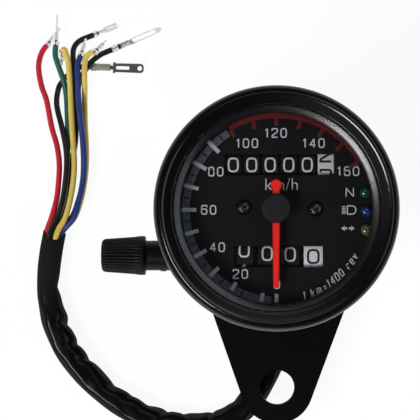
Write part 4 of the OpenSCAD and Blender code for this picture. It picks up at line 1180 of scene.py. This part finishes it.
def reset_knob():
    """The ribbed reset knob: tapered, ribs that run out over a rounded end, a lip at its skirt."""
    ribs = 34
    around = ribs * 8
    # (x, radius, depth of the ribs)
    stations = [
        (-47.2, 3.2, 0), (-47.16, 3.75, 0.1), (-47.0, 4.1, 0.26), (-46.7, 4.35, 0.34), (-46.35, 4.47, 0.36),
        (-45.8, 4.54, 0.36), (-44.0, 4.66, 0.36), (-42.0, 4.8, 0.36), (-40.0, 4.95, 0.36), (-38.2, 5.08, 0.36),
        (-37.6, 5.2, 0.26), (-36.9, 5.28, 0.18), (-36.0, 5.3, 0.14), (-35.6, 5.28, 0.1), (-35.42, 5.18, 0),
        (-35.4, 4.9, 0), (-35.4, 4.3, 0), (-35.9, 4.15, 0), (-40, 4.1, 0),
    ]
    points = []
    for x, radius, deep in stations:
        for a in (math.tau * k / around for k in range(around)):
            r = radius - deep * (1 - abs(math.cos(a * ribs / 2)) ** 0.5)
            points.append((x, TRIP_Y + r * math.cos(a), DRUM_HIGH + r * math.sin(a)))
    last = len(points)
    faces = skin(len(stations), around) + [tuple(range(around)), tuple(reversed(range(last - around, last)))]
    knob = piece("reset_knob_ribbed", points, faces, "reset_line", finishes["knob_black"], sharp=45)
    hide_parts("reset_knob")


def eased_edges():
    """Small bevels where the pressed and moulded parts catch the light."""
    for name, width in (("bracket", 0.22), ("housing", 0.2), ("stud_nuts", 0.12), ("case_screws", 0.12)):
        bevel = cad[name].modifiers.new("eased_edges", "BEVEL")
        bevel.width, bevel.segments, bevel.limit_method, bevel.angle_limit = width * MM, 2, "ANGLE", math.radians(35)


def studio_room():
    """Pale near the floor and dark above, for the reflections."""
    room = bpy.data.worlds.new("studio_room")
    room.use_nodes = True
    scene.world = room
    board = NodeBoard(room.node_tree)
    height = board.node("SeparateXYZ", entries={0: board.node("TexCoord")}, out=2)
    stops = [(place, (tone, tone, tone * 1.03)) for place, tone in ((0.14, 0.9), (0.21, 0.03), (1.0, 0.02))]
    sky = board.node("ValToRGB", {"stops": [(0.0, (0.9, 0.9, 0.9)), *stops]}, {0: height})
    plug(room.node_tree, room.node_tree.nodes["Background"].inputs["Color"], sky)


# Making it all

stand_camera()
harness_sleeve()
harness_leads()
finish_the_cad()
bezel_and_ring()
dial_printing()
counters()
pointer_and_cap()
dial_screws()
warning_lamps()
reset_knob()
eased_edges()

table = bpy.data.objects.new("table", bpy.data.meshes.new("table"))
table.data.from_pydata([(-3, -3, 0), (3, -3, 0), (3, 3, 0), (-3, 3, 0)], [], [(0, 1, 2, 3)])
table.data.materials.append(pale_table().material)
scene.collection.objects.link(table)

warm, cool, white = (1.0, 0.99, 0.98), (0.85, 0.92, 1.0), (1.0, 1.0, 1.0)
soft_box("window", 217, 50, 0.7, (0.35, 0.16), 2.9, warm)
soft_box("wall_east", -5, 48, 0.8, (0.5, 0.335), 0.68, cool)
soft_box("wall_north_east", 45, 48, 0.8, (0.5, 0.335), 0.68, cool)
soft_box("wall_north", 95, 63, 0.8, (0.45, 0.13), 0.22, cool)
soft_box("ceiling_north", 80, 69, 0.7, (0.3, 0.2), 0.06, cool)
soft_box("ceiling_south", 215, 72, 0.7, (0.3, 0.2), 0.04, white)
soft_box("backdrop", 250, 8, 0.8, (1.0, 0.2), 0.5, white)
studio_room()
scene.view_settings.view_transform = "Standard"
scene.view_settings.look = "None"
